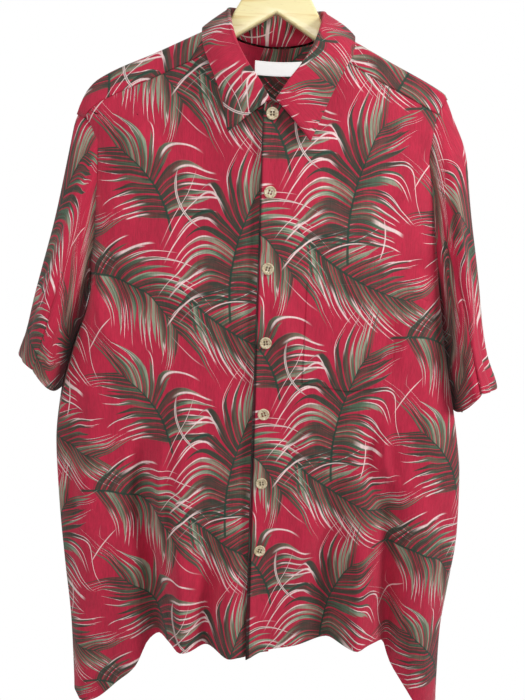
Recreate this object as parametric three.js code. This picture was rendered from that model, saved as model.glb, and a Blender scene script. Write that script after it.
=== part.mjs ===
// Short-sleeved button-front shirt hanging on a flat wooden hanger.
//
// Millimetres. +X is to the viewer's right, +Y points away from the viewer, +Z is up.
// The origin is the inside top of the hook's bend, where a rail holds the hanger.
// Rows in the tables are for the viewer's "left" or "right" side; x there is a distance from the middle.

import * as THREE from 'three';

// Cloth walls
const CLOTH = 1.6;
const SEAM_GAP = 0.3;
const SIDE_SEAM_GAP = 0.8;
const CORNER_SLACK = 0.7;
const LAYER_GAP = 0.4;
const LABEL_GAP = 0.7;
const ARMHOLE_GAP = 1;

// Hanger
const HANGER_THICKNESS = 12;
const HANGER_BEVEL = 3;
const HANGER_BELOW_CLOTH = 3.2;
const HANGER_ARM_END = 210;
const HANGER_ARM_STATIONS = [80, 120, 165, 204];
const HANGER_END_ROUND = [{ inset: 1, drop: 6 }, { inset: 0, drop: 14 }];
const HANGER_CROWN = [
  { x: 0, z: -80 }, { x: 12, z: -82 }, { x: 22, z: -89 }, { x: 31, z: -101 },
  { x: 41, z: -118 }, { x: 51, z: -135 }, { x: 60, z: -152 },
];
const HANGER_UNDERSIDE = [
  { x: 204, z: -241 }, { x: 90, z: -188 }, { x: 61, z: -172.5 }, { x: 0, z: -136 },
];
const HOOK_WIRE = 3.6;
const HOOK_INNER_RADIUS = 20;
const HOOK_FOOT = -79.7;

// Shoulder line over the hanger's arm
const NECK_SIDE = 64;
const NECK_SIDE_HEIGHT = -148;
const RIDGE_RADIUS = 8;
const FRONT_SEAM_DROP = 32;
const BACK_SEAM = { centre: -262, armhole: -300 };

// Front and back depth of the body, and how fast they are reached below the shoulder
const DEPTH = [
  { z: -150, front: 46, back: 40 },
  { z: -300, front: 50, back: 46 },
  { z: -450, front: 58, back: 52 },
  { z: -650, front: 64, back: 56 },
  { z: -1070, front: 66, back: 58 },
];
const DEPTH_REACHED = { front: 95, back: 80 };
const SECTION_POWER = 3.2;
const RIDGE_POWER = { value: 12, from: 8, to: 90 };
const SECTION_REFERENCE = { width: 250, depth: 60 };
const SECTION_STEPS = 240;

// Around the neck the cloth stands away from the hanger
const NECK_BULGE = {
  front: { depth: 18, width: 60, at: 100, fade: 200 },
  back: { depth: 26, width: 50, at: 20, fade: 150 },
};

// The sides: where the ridge ends, the armhole's edge and below it the side seam.
// front and back are how far the edge lies from the middle plane.
const LEFT = {
  sign: -1,
  ridge: [
    { x: NECK_SIDE, z: NECK_SIDE_HEIGHT }, { x: 141, z: -184.5 }, { x: 218, z: -221 },
    { x: 232, z: -235 }, { x: 240, z: -250 }, { x: 246, z: -264 },
  ],
  edge: [
    { z: -264, x: 246, front: 0, back: 0 },
    { z: -266, x: 240, front: 6, back: 6 },
    { z: -271, x: 232, front: 11, back: 11 },
    { z: -283, x: 222, front: 16, back: 17 },
    { z: -300, x: 217.5, front: 19, back: 20 },
    { z: -346, x: 218, front: 22, back: 23 },
    { z: -406, x: 219, front: 23, back: 24 },
    { z: -440, x: 223, front: 22, back: 22 },
    { z: -462, x: 226, front: 15, back: 15 },
    { z: -474, x: 228, front: 8, back: 8 },
    { z: -478, x: 228.5, front: 0, back: 0 },
    { z: -507, x: 233, front: 0, back: 0 },
    { z: -552, x: 246, front: 0, back: 0 },
    { z: -626, x: 263, front: 0, back: 0 },
    { z: -695, x: 269, front: 0, back: 0 },
    { z: -755, x: 267, front: 0, back: 0 },
    { z: -855, x: 259, front: 0, back: 0 },
    { z: -946, x: 251, front: 0, back: 0 },
    { z: -1060, x: 247, front: 0, back: 0 },
  ],
  hem: [
    { f: 0, z: -957 }, { f: 0.45, z: -951 }, { f: 0.53, z: -960 }, { f: 0.58, z: -990 },
    { f: 0.65, z: -1012 }, { f: 0.78, z: -1048 }, { f: 0.84, z: -1052 }, { f: 0.92, z: -1038 },
    { f: 1, z: -1018 },
  ],
  sleeve: {
    outer: [
      { t: 0, x: 246, z: -264 }, { t: 0.35, x: 271, z: -377 }, { t: 0.75, x: 302, z: -501 },
      { t: 0.92, x: 314, z: -555 }, { t: 1, x: 324, z: -576 },
    ],
    hem: {
      front: { x: 292, y: -62, z: -592 },
      inner: { x: 274, y: 8, z: -622 },
      back: { x: 300, y: 84, z: -606 },
    },
    outerY: 6,
  },
};
const RIGHT = {
  sign: 1,
  ridge: [
    { x: NECK_SIDE, z: NECK_SIDE_HEIGHT }, { x: 139, z: -185 }, { x: 208, z: -218.5 },
    { x: 214, z: -222.5 }, { x: 218, z: -228 },
  ],
  edge: [
    { z: -228, x: 218, front: 0, back: 0 },
    { z: -230, x: 215, front: 6, back: 6 },
    { z: -237, x: 210, front: 10, back: 10 },
    { z: -252, x: 204, front: 14, back: 15 },
    { z: -272, x: 200, front: 18, back: 18 },
    { z: -300, x: 200, front: 20, back: 21 },
    { z: -340, x: 205, front: 22, back: 23 },
    { z: -388, x: 211, front: 23, back: 24 },
    { z: -437, x: 219, front: 22, back: 22 },
    { z: -460, x: 224, front: 15, back: 15 },
    { z: -473, x: 227, front: 8, back: 8 },
    { z: -478, x: 228, front: 0, back: 0 },
    { z: -525, x: 234, front: 0, back: 0 },
    { z: -577, x: 243, front: 0, back: 0 },
    { z: -657, x: 260, front: 0, back: 0 },
    { z: -712, x: 269, front: 0, back: 0 },
    { z: -801, x: 273, front: 0, back: 0 },
    { z: -877, x: 267, front: 0, back: 0 },
    { z: -945, x: 262, front: 0, back: 0 },
    { z: -1070, x: 266, front: 0, back: 0 },
  ],
  hem: [
    { f: 0, z: -957 }, { f: 0.2, z: -948 }, { f: 0.55, z: -944 }, { f: 0.62, z: -952 },
    { f: 0.66, z: -985 }, { f: 0.72, z: -1008 }, { f: 0.8, z: -1044 }, { f: 0.87, z: -1062 },
    { f: 1, z: -1048 },
  ],
  sleeve: {
    outer: [
      { t: 0, x: 218, z: -228 }, { t: 0.18, x: 249, z: -287 }, { t: 0.36, x: 259, z: -350 },
      { t: 0.63, x: 278, z: -449 }, { t: 0.88, x: 294, z: -545 }, { t: 1, x: 315, z: -589 },
    ],
    hem: {
      front: { x: 280, y: -58, z: -590 },
      inner: { x: 262, y: 8, z: -628 },
      back: { x: 298, y: 80, z: -652 },
    },
    outerY: 0,
  },
};
const UNDERARM = -478;

// Folds: x where they meet the hem, x and height where they die out, how far they stand out
// (valleys are negative) and their half-widths to the viewer's left and right.
const FRONT_FOLDS = [
  { hem: -232, start: -205, from: -330, rise: 7, left: 14, right: 20 },
  { hem: -130, start: -160, from: -560, rise: -18, left: 20, right: 15 },
  { hem: -92, start: -98, from: -520, rise: 14, left: 12, right: 26 },
  { hem: -62, start: -66, from: -720, rise: -8, left: 14, right: 14 },
  { hem: -26, start: -40, from: -690, rise: 15, left: 18, right: 34 },
  { hem: 104, start: 96, from: -600, rise: -15, left: 34, right: 16 },
  { hem: 142, start: 138, from: -640, rise: 9, left: 14, right: 12 },
  { hem: 190, start: 160, from: -560, rise: -20, left: 18, right: 13 },
  { hem: 236, start: 200, from: -330, rise: 8, left: 20, right: 15 },
];
const BACK_FOLDS = [
  { hem: -215, start: -196, from: -380, rise: 8, left: 18, right: 18 },
  { hem: -160, start: -150, from: -520, rise: -14, left: 18, right: 20 },
  { hem: -112, start: -110, from: -480, rise: 12, left: 20, right: 20 },
  { hem: -48, start: -60, from: -600, rise: -10, left: 24, right: 20 },
  { hem: 8, start: 0, from: -300, rise: 11, left: 26, right: 22 },
  { hem: 70, start: 58, from: -560, rise: -13, left: 22, right: 24 },
  { hem: 126, start: 112, from: -500, rise: 12, left: 20, right: 22 },
  { hem: 178, start: 160, from: -540, rise: -15, left: 20, right: 16 },
  { hem: 226, start: 200, from: -380, rise: 8, left: 18, right: 18 },
];

// Front opening: the viewer's right front lies on top
const OVERLAP_EDGE = { top: -12, hem: -3 };
const UNDERLAP_EDGE = 24;
const UNDERLAP_STEP = { from: -30, to: -15, depth: CLOTH + 2 * LAYER_GAP + 1 };
const OPENING_TOP = -251;

// Collar: seam on the neck, crease where it folds over, and the leaf's outer edge
const COLLAR_WALL = 1.4;
const COLLAR_TURN = 1.8;
const SEAM_ABOVE = 2.1;
const SEAM_INSIDE = 2.1;
const NECK_MIDDLE_Y = -8;
const COLLAR_STATIONS = [
  { seam: { x: 7, face: 'front' }, crease: [4, -57.5, -246] },
  { seam: { x: 21, face: 'front' }, crease: [18, -54, -224] },
  { seam: { x: 37, face: 'front' }, crease: [33, -47, -203] },
  { seam: { x: 51, face: 'front' }, crease: [47, -38, -178] },
  { seam: { x: 59, face: 'front' }, crease: [55, -24, -155] },
  { seam: { x: 64.4, drop: 4, face: 'front' }, crease: [58, -10, -141] },
  { seam: { x: 66, drop: 0, face: 'back' }, crease: [59, 0, -134] },
  { seam: { x: 60, drop: 9, face: 'back' }, crease: [55, 16, -129] },
  { seam: { x: 44, face: 'back' }, crease: [41, 30, -127] },
  { seam: { x: 22, face: 'back' }, crease: [20, 38, -126] },
  { seam: { x: 0, face: 'back' }, crease: [0, 40, -126] },
];
const LEAF_EDGE_LEFT = [
  [53, -55, -284], [59, -52, -252], [69, -47, -224], [79, -37, -201], [87, -24, -181],
  [90, -11, -162], [90, 2, -155], [83, 26, -163], [57, 43, -177], [28, 52, -186], [0, 54, -188],
];
const LEAF_EDGE_RIGHT = [
  [47, -57, -291], [60, -53, -260], [73, -47, -229], [86, -37, -202], [95, -26, -183],
  [97, -12, -166], [97, 2, -158], [86, 26, -165], [58, 43, -177], [28, 52, -186], [0, 54, -188],
];

// Neck edge of the fronts, of which the collar's seam takes the rest
const NECKLINE = [
  { x: 0, z: -251 }, { x: 8, z: -250 }, { x: 21, z: -232 }, { x: 38, z: -213 },
  { x: 52, z: -192 }, { x: 59, z: -179.5 },
];

// Neck edge of the yoke, as drops below the shoulder line
const BACK_NECK = [
  { x: 67.4, drop: 0 }, { x: 63, drop: 7.3 }, { x: 54.5, drop: 13.2 }, { x: 44, drop: 16.5 },
  { x: 33, drop: 18.3 }, { x: 22, drop: 19.3 }, { x: 11, drop: 19.8 }, { x: 0, drop: 20 },
];

// Pocket, labels and buttons
const POCKET = { left: 52, right: 164, top: -459, height: 134, wall: 1.2, point: 9 };
const NECK_LABEL = { middle: 5, width: 60, top: -183.5, height: 17, wall: 1 };
const SIZE_TAB = { middle: 52, width: 15, top: -172, height: 16, wall: 1 };
const BUTTON = { count: 7, top: -261, spacing: 91.2, radius: 7.5, thickness: 2.8, fromEdge: 12 };

// Triangle budget
const BACK_COLUMNS = 34;
const ROWS_BELOW_ARM = 12;
const SLEEVE_ROWS = 8;
const COLLAR_CELLS = 34;
const YOKE_SEAM_CELLS = 16;
const YOKE_NECK_STEP = 4;
const YOKE_NECK_SPREAD = 9;

const COLOURS = {
  cloth: 0xa52338, print: 0x4f5a4c, label: 0xf2f0ec, wood: 0xe3c27c, steel: 0xb9bcc0, button: 0xd8c7a2,
};

// Curves through tables

// Returns a smooth curve through the rows that never overshoots them.
function tableCurve(rows, key, value) {
  const points = rows.map((row) => [row[key], row[value]]).sort((a, b) => a[0] - b[0]);
  const count = points.length;
  const slopes = [];
  for (let i = 0; i < count - 1; i += 1) {
    slopes.push((points[i + 1][1] - points[i][1]) / (points[i + 1][0] - points[i][0]));
  }
  const tangents = points.map((_, i) => {
    if (i === 0) return slopes[0];
    if (i === count - 1) return slopes[count - 2];
    const before = slopes[i - 1];
    const after = slopes[i];
    return before * after <= 0 ? 0 : (2 * before * after) / (before + after);
  });
  return (at) => {
    if (at <= points[0][0]) return points[0][1];
    if (at >= points[count - 1][0]) return points[count - 1][1];
    let i = 0;
    while (at > points[i + 1][0]) i += 1;
    const span = points[i + 1][0] - points[i][0];
    const t = (at - points[i][0]) / span;
    const t2 = t * t;
    const t3 = t2 * t;
    return (2 * t3 - 3 * t2 + 1) * points[i][1] + (t3 - 2 * t2 + t) * span * tangents[i]
      + (-2 * t3 + 3 * t2) * points[i + 1][1] + (t3 - t2) * span * tangents[i + 1];
  };
}

function smoothstep(from, to, at) {
  const t = Math.min(1, Math.max(0, (at - from) / (to - from)));
  return t * t * (3 - 2 * t);
}

function mix(a, b, t) {
  return a + (b - a) * t;
}

for (const side of [LEFT, RIGHT]) {
  side.ridgeAt = tableCurve(side.ridge, 'x', 'z');
  side.edgeX = tableCurve(side.edge, 'z', 'x');
  side.edgeFront = tableCurve(side.edge, 'z', 'front');
  side.edgeBack = tableCurve(side.edge, 'z', 'back');
  side.hemAt = tableCurve(side.hem, 'f', 'z');
}
const depthAt = {
  front: tableCurve(DEPTH, 'z', 'front'),
  back: tableCurve(DEPTH, 'z', 'back'),
};
const necklineAt = tableCurve(NECKLINE, 'x', 'z');
const backNeckAt = tableCurve(BACK_NECK, 'x', 'drop');

// Body surface

// Quarter of the body's section, walked from the middle of a face to the side seam:
// each row gives the share of the way, of the half-width and of the depth.
function sectionWalk() {
  const { width, depth } = SECTION_REFERENCE;
  const steps = SECTION_STEPS;
  const rows = [];
  let walked = 0;
  let last = null;
  for (let i = 0; i <= steps; i += 1) {
    const angle = (i / steps) * Math.PI / 2;
    const sum = Math.sin(angle) ** SECTION_POWER + Math.cos(angle) ** SECTION_POWER;
    const reach = sum ** (-1 / SECTION_POWER);
    const across = Math.sin(angle) * reach;
    const deep = i === steps ? 0 : Math.cos(angle) * reach;
    if (last) walked += Math.hypot((across - last.across) * width, (deep - last.deep) * depth);
    last = { across, deep, walked };
    rows.push(last);
  }
  return rows.map((row) => ({
    share: row.walked / walked,
    across: row.across,
    deep: row.deep,
    length: walked,
  }));
}
const SECTION = sectionWalk();
const SECTION_LENGTH = SECTION[0].length;
const acrossAt = tableCurve(SECTION, 'share', 'across');
const shareAtAcross = tableCurve(SECTION, 'across', 'share');

// The section is nearly square over the hanger's arm and rounds off below it.
function sectionPower(drop) {
  return mix(RIDGE_POWER.value, SECTION_POWER, smoothstep(RIDGE_POWER.from, RIDGE_POWER.to, drop));
}

function deepAt(across, power) {
  return Math.max(0, 1 - Math.min(1, Math.abs(across)) ** power) ** (1 / power);
}

// Depth of the draped cloth at a drop below the shoulder line, before the section rounds it off.
function drapedDepth(face, drop, z) {
  if (drop <= RIDGE_RADIUS) {
    const up = RIDGE_RADIUS - Math.max(0, drop);
    return Math.sqrt(RIDGE_RADIUS ** 2 - up ** 2);
  }
  const full = depthAt[face](z) - RIDGE_RADIUS;
  return RIDGE_RADIUS + full * (1 - Math.exp(-(drop - RIDGE_RADIUS) / DEPTH_REACHED[face]));
}

// Share of the walk at which the panel ends, and the half-width that puts the edge in its place.
function edgeOf(side, face, z) {
  const x = side.edgeX(z);
  const drop = side.ridgeAt(x) - z;
  const out = face === 'front' ? side.edgeFront(z) : side.edgeBack(z);
  const deep = Math.min(0.95, out / Math.max(1, drapedDepth(face, drop, z)));
  const across = deepAt(deep, sectionPower(drop));
  return { share: shareAtAcross(across), width: x / across };
}

function foldRise(face, x, z) {
  let rise = 0;
  for (const fold of face === 'front' ? FRONT_FOLDS : BACK_FOLDS) {
    const down = smoothstep(fold.from, -940, z);
    const middle = mix(fold.start, fold.hem, Math.min(1.1, (fold.from - z) / (fold.from + 950)));
    const away = (x - middle) / (x < middle ? fold.left : fold.right);
    rise += z < fold.from ? fold.rise * down * Math.exp(-away * away) : 0;
  }
  return rise;
}

// Distance of the cloth from the middle plane at x (signed) and z.
function clothDepth(side, face, x, z) {
  const away = Math.abs(x);
  const drop = side.ridgeAt(away) - z;
  const { width } = edgeOf(side, face, z);
  const round = deepAt(away / width, sectionPower(drop));
  const bulge = NECK_BULGE[face];
  const fade = Math.min(1.3, Math.exp(-(drop - bulge.at) / bulge.fade)) * smoothstep(0, 14, drop);
  const neck = bulge.depth * Math.exp(-((away / bulge.width) ** 2)) * fade;
  const folds = foldRise(face, x, z) * Math.sqrt(round) * smoothstep(0, 0.3, round);
  return drapedDepth(face, drop, z) * round + neck + folds;
}

function sideOf(x) {
  return x < 0 ? LEFT : RIGHT;
}

function onFace(face, x, z, out = 0) {
  const depth = clothDepth(sideOf(x), face, x, z) + out;
  return new THREE.Vector3(x, face === 'front' ? -depth : depth, z);
}

// Walls

// Closes a grid of middle points into a wall. A tube's rows join end to start.
function wall(grid, thickness, { tube = false, flip = false } = {}) {
  const rows = grid.length;
  const columns = grid[0].length;
  const inRange = (k, count) => Math.min(count - 1, Math.max(0, k));
  const at = (i, j) => grid[inRange(i, rows)][tube ? (j + columns) % columns : inRange(j, columns)];
  const normals = grid.map((row, i) => row.map((_, j) => {
    const along = at(i + 1, j).clone().sub(at(i - 1, j));
    const across = at(i, j + 1).clone().sub(at(i, j - 1));
    return across.cross(along).normalize().multiplyScalar(flip ? -1 : 1);
  }));
  const positions = [];
  for (const way of [0.5, -0.5]) {
    grid.forEach((row, i) => row.forEach((point, j) => {
      positions.push(...point.clone().addScaledVector(normals[i][j], thickness * way).toArray());
    }));
  }
  const inner = rows * columns;
  const index = (i, j, layer) => layer * inner + i * columns + (j % columns);
  const faces = [];
  const quad = (a, b, c, d) => faces.push(a, b, c, a, c, d);
  const last = tube ? columns : columns - 1;
  for (let i = 0; i < rows - 1; i += 1) {
    for (let j = 0; j < last; j += 1) {
      quad(index(i, j, 0), index(i, j + 1, 0), index(i + 1, j + 1, 0), index(i + 1, j, 0));
      quad(index(i, j, 1), index(i + 1, j, 1), index(i + 1, j + 1, 1), index(i, j + 1, 1));
    }
  }
  for (let j = 0; j < last; j += 1) {
    quad(index(0, j, 1), index(0, j + 1, 1), index(0, j + 1, 0), index(0, j, 0));
    quad(index(rows - 1, j, 0), index(rows - 1, j + 1, 0), index(rows - 1, j + 1, 1), index(rows - 1, j, 1));
  }
  for (let i = 0; i < rows - 1 && !tube; i += 1) {
    quad(index(i, 0, 0), index(i + 1, 0, 0), index(i + 1, 0, 1), index(i, 0, 1));
    const end = columns - 1;
    quad(index(i, end, 1), index(i + 1, end, 1), index(i + 1, end, 0), index(i, end, 0));
  }
  if (flip) {
    for (let k = 0; k < faces.length; k += 3) [faces[k + 1], faces[k + 2]] = [faces[k + 2], faces[k + 1]];
  }
  const geometry = new THREE.BufferGeometry();
  geometry.setAttribute('position', new THREE.Float32BufferAttribute(positions, 3));
  geometry.setIndex(faces);
  return geometry;
}

// Fronts

// x on the cloth at a share of the way from the middle to the panel's side edge.
function faceX(side, face, share, z, start = 0) {
  const { share: end, width } = edgeOf(side, face, z);
  const first = start / SECTION_LENGTH;
  const walked = mix(first, end, share);
  return Math.sign(walked) * width * acrossAt(Math.abs(walked));
}

// Heights of a panel's rows along its side edge, with the armhole's own rows above the underarm.
function edgeRows(side, top) {
  const rows = [top];
  for (const { z } of side.edge) {
    if (z < top - 4 && z >= UNDERARM) rows.push(z);
  }
  const hem = side.hemAt(1);
  for (let k = 1; k <= ROWS_BELOW_ARM; k += 1) rows.push(mix(UNDERARM, hem, k / ROWS_BELOW_ARM));
  return rows;
}

// Solves z = curve(z) between two heights by halving.
function settle(curve, low = -540, high = -100) {
  let [below, above] = [low, high];
  for (let step = 0; step < 40; step += 1) {
    const middle = (below + above) / 2;
    if (middle > curve(middle)) above = middle;
    else below = middle;
  }
  return (below + above) / 2;
}

function frontTop(x) {
  const away = Math.abs(x);
  if (away < NECKLINE.at(-1).x) return necklineAt(away);
  return sideOf(x).ridgeAt(away) - FRONT_SEAM_DROP;
}

function overlapEdge(z) {
  return mix(OVERLAP_EDGE.top, OVERLAP_EDGE.hem, (OPENING_TOP - z) / (OPENING_TOP + 960));
}

// Draws the last point of a panel back from its seam.
function edgeInset(side, point, last) {
  if (last && point.z > UNDERARM + 1) point.x -= side.sign * SEAM_GAP;
  return point;
}

// x of the columns along the front seam, from the armhole to the neck.
function seamColumns(side) {
  const corner = side.edgeX(settle((z) => side.ridgeAt(side.edgeX(z)) - FRONT_SEAM_DROP));
  const neck = NECKLINE.at(-1).x;
  return Array.from({ length: YOKE_SEAM_CELLS + 1 }, (_, k) => mix(corner, neck, k / YOKE_SEAM_CELLS));
}

function frontPanel(side) {
  const onTop = side === RIGHT;
  const startAt = (z) => (onTop ? overlapEdge(z) : -UNDERLAP_EDGE);
  const first = startAt(OPENING_TOP);
  const columns = [first, ...NECKLINE.slice(0, -1).map(({ x }) => x), ...seamColumns(side).reverse()];
  const total = columns.length - 1;
  const shares = columns.map((x, j) => {
    const top = frontTop(side.sign * x);
    const { share: end, width } = edgeOf(side, 'front', top);
    const begin = startAt(top) / SECTION_LENGTH;
    const walked = Math.sign(x) * shareAtAcross(Math.abs(x) / width);
    return j === 0 ? 0 : j === total ? 1 : (walked - begin) / (end - begin);
  });
  const tops = columns.map((x) => {
    const slack = CORNER_SLACK * smoothstep(0.9, 1, x / columns[total]);
    return frontTop(side.sign * x) - SEAM_GAP / 2 - slack;
  });
  const grid = [];
  const rows = edgeRows(side, tops[total]);
  for (const height of rows) {
    const down = (height - rows[0]) / (rows.at(-1) - rows[0]);
    const row = [];
    for (let j = 0; j <= total; j += 1) {
      const z = mix(tops[j], side.hemAt(shares[j]), down);
      const x = side.sign * faceX(side, 'front', shares[j], z, startAt(z));
      const under = onTop ? 0 : UNDERLAP_STEP.depth * smoothstep(UNDERLAP_STEP.from, UNDERLAP_STEP.to, x);
      const point = edgeInset(side, onFace('front', x, z, -under), j === total);
      row.push(point.setY(Math.min(point.y, -SIDE_SEAM_GAP / 2)));
    }
    grid.push(row);
  }
  return wall(grid, CLOTH, { flip: side === LEFT });
}

// Back

function backSeam(x) {
  const side = sideOf(x);
  return mix(BACK_SEAM.centre, BACK_SEAM.armhole, (Math.abs(x) / side.edgeX(BACK_SEAM.armhole)) ** 1.5);
}

function backPanel() {
  const halves = [LEFT, RIGHT].map((side) => {
    const columns = BACK_COLUMNS / 2;
    const edge = edgeRows(side, BACK_SEAM.armhole - SEAM_GAP / 2);
    const tops = [];
    for (let j = 0; j <= columns; j += 1) {
      const share = 1 - j / columns;
      tops.push(settle((z) => backSeam(side.sign * faceX(side, 'back', share, z))) - SEAM_GAP / 2);
    }
    return edge.map((height) => {
      const down = (height - edge[0]) / (edge.at(-1) - edge[0]);
      return tops.map((top, j) => {
        const share = 1 - j / columns;
        const z = mix(top, side.hemAt(share), down);
        const x = side.sign * faceX(side, 'back', share, z);
        const point = edgeInset(side, onFace('back', x, z), j === 0);
        return point.setY(Math.max(point.y, SIDE_SEAM_GAP / 2));
      });
    });
  });
  const grid = halves[0].map((row, i) => [...row, ...halves[1][i].slice(0, -1).reverse()]);
  return wall(grid, CLOTH, { flip: true });
}

// Yoke

// Point of the cloth at x and at a signed way over the ridge, negative to the front.
function overRidge(x, way) {
  return onFace(way < 0 ? 'front' : 'back', x, sideOf(x).ridgeAt(Math.abs(x)) - dropOfWay(way));
}

function wayOfDrop(drop) {
  const turn = RIDGE_RADIUS * Math.PI / 2;
  return drop < RIDGE_RADIUS ? RIDGE_RADIUS * Math.acos(1 - drop / RIDGE_RADIUS) : turn + drop - RIDGE_RADIUS;
}

function dropOfWay(way) {
  const turn = RIDGE_RADIUS * Math.PI / 2;
  const walked = Math.abs(way);
  return walked < turn ? RIDGE_RADIUS * (1 - Math.cos(walked / RIDGE_RADIUS)) : RIDGE_RADIUS + walked - turn;
}

// The yoke's front and neck edge on one side, as [x, way] pairs from the armhole to the middle.
function yokeStart(side) {
  const seamWay = -wayOfDrop(FRONT_SEAM_DROP - SEAM_GAP / 2);
  const points = seamColumns(side).map((x) => [x, seamWay]);
  points.push([66.4, -wayOfDrop(10)]);
  for (const { x, drop } of BACK_NECK) points.push([x, wayOfDrop(drop)]);
  return points;
}

function yokeEnd(side, count) {
  const outer = side.edgeX(BACK_SEAM.armhole);
  return Array.from({ length: count }, (_, k) => {
    const x = outer * (1 - k / (count - 1));
    return [x, wayOfDrop(side.ridgeAt(x) - backSeam(side.sign * x) - SEAM_GAP / 2)];
  });
}

// Ways over the ridge of the yoke's rows in one column: row 3 lies on the ridge where the column crosses it.
function yokeWays(seamWay, from, end) {
  const turn = RIDGE_RADIUS * Math.PI / 2;
  const ways = [seamWay, -turn, -turn / 2, 0, turn / 2, turn, mix(turn, end, 0.3), mix(turn, end, 0.65), end];
  return ways.map((way, i) => {
    if (from < 0) return i < 3 ? (way * from) / seamWay : way;
    const first = from + YOKE_NECK_STEP;
    return i < 3 ? from + (YOKE_NECK_STEP * i) / 3 : mix(first, end, way / end);
  });
}

function yoke() {
  const halves = [LEFT, RIGHT].map((side) => {
    const start = yokeStart(side);
    const end = yokeEnd(side, start.length);
    const seamWay = start[0][1];
    const edgeWays = yokeWays(seamWay, seamWay, end[0][1]);
    const columns = start.map(([fromX, fromWay], k) => {
      const [toX, toWay] = end[k];
      return yokeWays(seamWay, fromWay, toWay).map((way, i) => {
        const down = (way - fromWay) / (toWay - fromWay);
        const edge = side.edgeX(settle((z) => side.ridgeAt(side.edgeX(z)) - dropOfWay(edgeWays[i])));
        const edgeDown = (edgeWays[i] - seamWay) / (end[0][1] - seamWay);
        const straight = mix(start[0][0], end[0][0], edgeDown);
        const pull = (edge - straight) * Math.max(0, 1 - k / 8) - (k === 0 ? SEAM_GAP : 0);
        const spread = k <= YOKE_SEAM_CELLS && i > 0 ? YOKE_NECK_SPREAD * (k / YOKE_SEAM_CELLS) ** 2 : 0;
        return overRidge(side.sign * (mix(fromX, toX, down) + pull + spread * (1 - down)), way);
      });
    });
    return edgeWays.map((_, i) => columns.map((column) => column[i]));
  });
  const grid = halves[0].map((row, i) => [...row, ...halves[1][i].slice(0, -1).reverse()]);
  return wall(grid, CLOTH, { flip: true });
}

// Sleeves

function armholePoint(side, angle) {
  const top = side.edge[0];
  const z = mix(top.z, UNDERARM, (1 - Math.cos(angle)) / 2);
  const front = Math.sin(angle) > 0;
  const out = front ? -side.edgeFront(z) : side.edgeBack(z);
  const besideBody = (CLOTH + LAYER_GAP) * smoothstep(0.2, 0.8, -Math.cos(angle));
  const outward = ARMHOLE_GAP * (0.4 + 0.6 * Math.abs(Math.sin(angle))) + besideBody;
  const down = Math.cos(angle) > 0 ? ARMHOLE_GAP * Math.cos(angle) : 0;
  return new THREE.Vector3(side.sign * (side.edgeX(z) + outward), out, z - down);
}

function sleeveHemPoint(side, angle) {
  const { hem, outer, outerY } = side.sleeve;
  const end = outer.at(-1);
  const cos = Math.cos(angle);
  const sin = Math.sin(angle);
  const corner = sin > 0 ? hem.front : hem.back;
  const tip = cos > 0 ? { x: end.x, y: outerY, z: end.z } : hem.inner;
  const share = Math.abs(cos) ** 1.6;
  return new THREE.Vector3(
    side.sign * mix(corner.x, tip.x, share),
    mix(tip.y, corner.y, Math.abs(sin) ** 0.75),
    mix(corner.z, tip.z, share),
  );
}

function sleevePanel(side) {
  const span = side.edge[0].z - UNDERARM;
  const half = side.edge.filter(({ z }) => z >= UNDERARM)
    .map(({ z }) => Math.acos(1 - (2 * (side.edge[0].z - z)) / span));
  const angles = [...half, ...half.slice(1, -1).reverse().map((angle) => 2 * Math.PI - angle)];
  const outerX = tableCurve(side.sleeve.outer, 't', 'x');
  const outerZ = tableCurve(side.sleeve.outer, 't', 'z');
  const grid = [];
  for (let i = 0; i <= SLEEVE_ROWS; i += 1) {
    const t = i / SLEEVE_ROWS;
    const row = [];
    for (const angle of angles) {
      const start = armholePoint(side, angle);
      const end = sleeveHemPoint(side, angle);
      const point = start.clone().lerp(end, t);
      const top = armholePoint(side, 0).lerp(sleeveHemPoint(side, 0), t);
      const share = Math.max(0, Math.cos(angle)) * Math.sin(Math.PI * t) ** 0.5;
      point.x += (side.sign * outerX(t) - top.x) * share;
      point.z += (outerZ(t) - top.z) * share;
      point.y += Math.sign(-Math.sin(angle)) * 14 * Math.sin(Math.PI * t) * Math.abs(Math.sin(angle));
      row.push(point);
    }
    grid.push(row);
  }
  return wall(grid, CLOTH, { tube: true, flip: side === RIGHT });
}

// Collar

// Point just above the neck edge, on the cloth that it is sewn to.
function collarSeam({ x, drop, face }, sign) {
  const neckDrop = drop ?? backNeckAt(x);
  const z = face === 'front' && drop === undefined
    ? necklineAt(x)
    : sideOf(sign).ridgeAt(x) - neckDrop;
  const point = onFace(face, sign * x, z);
  const inward = new THREE.Vector3(-point.x, NECK_MIDDLE_Y - point.y, 0).setLength(SEAM_INSIDE);
  return point.add(inward).setZ(z + SEAM_ABOVE);
}

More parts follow.
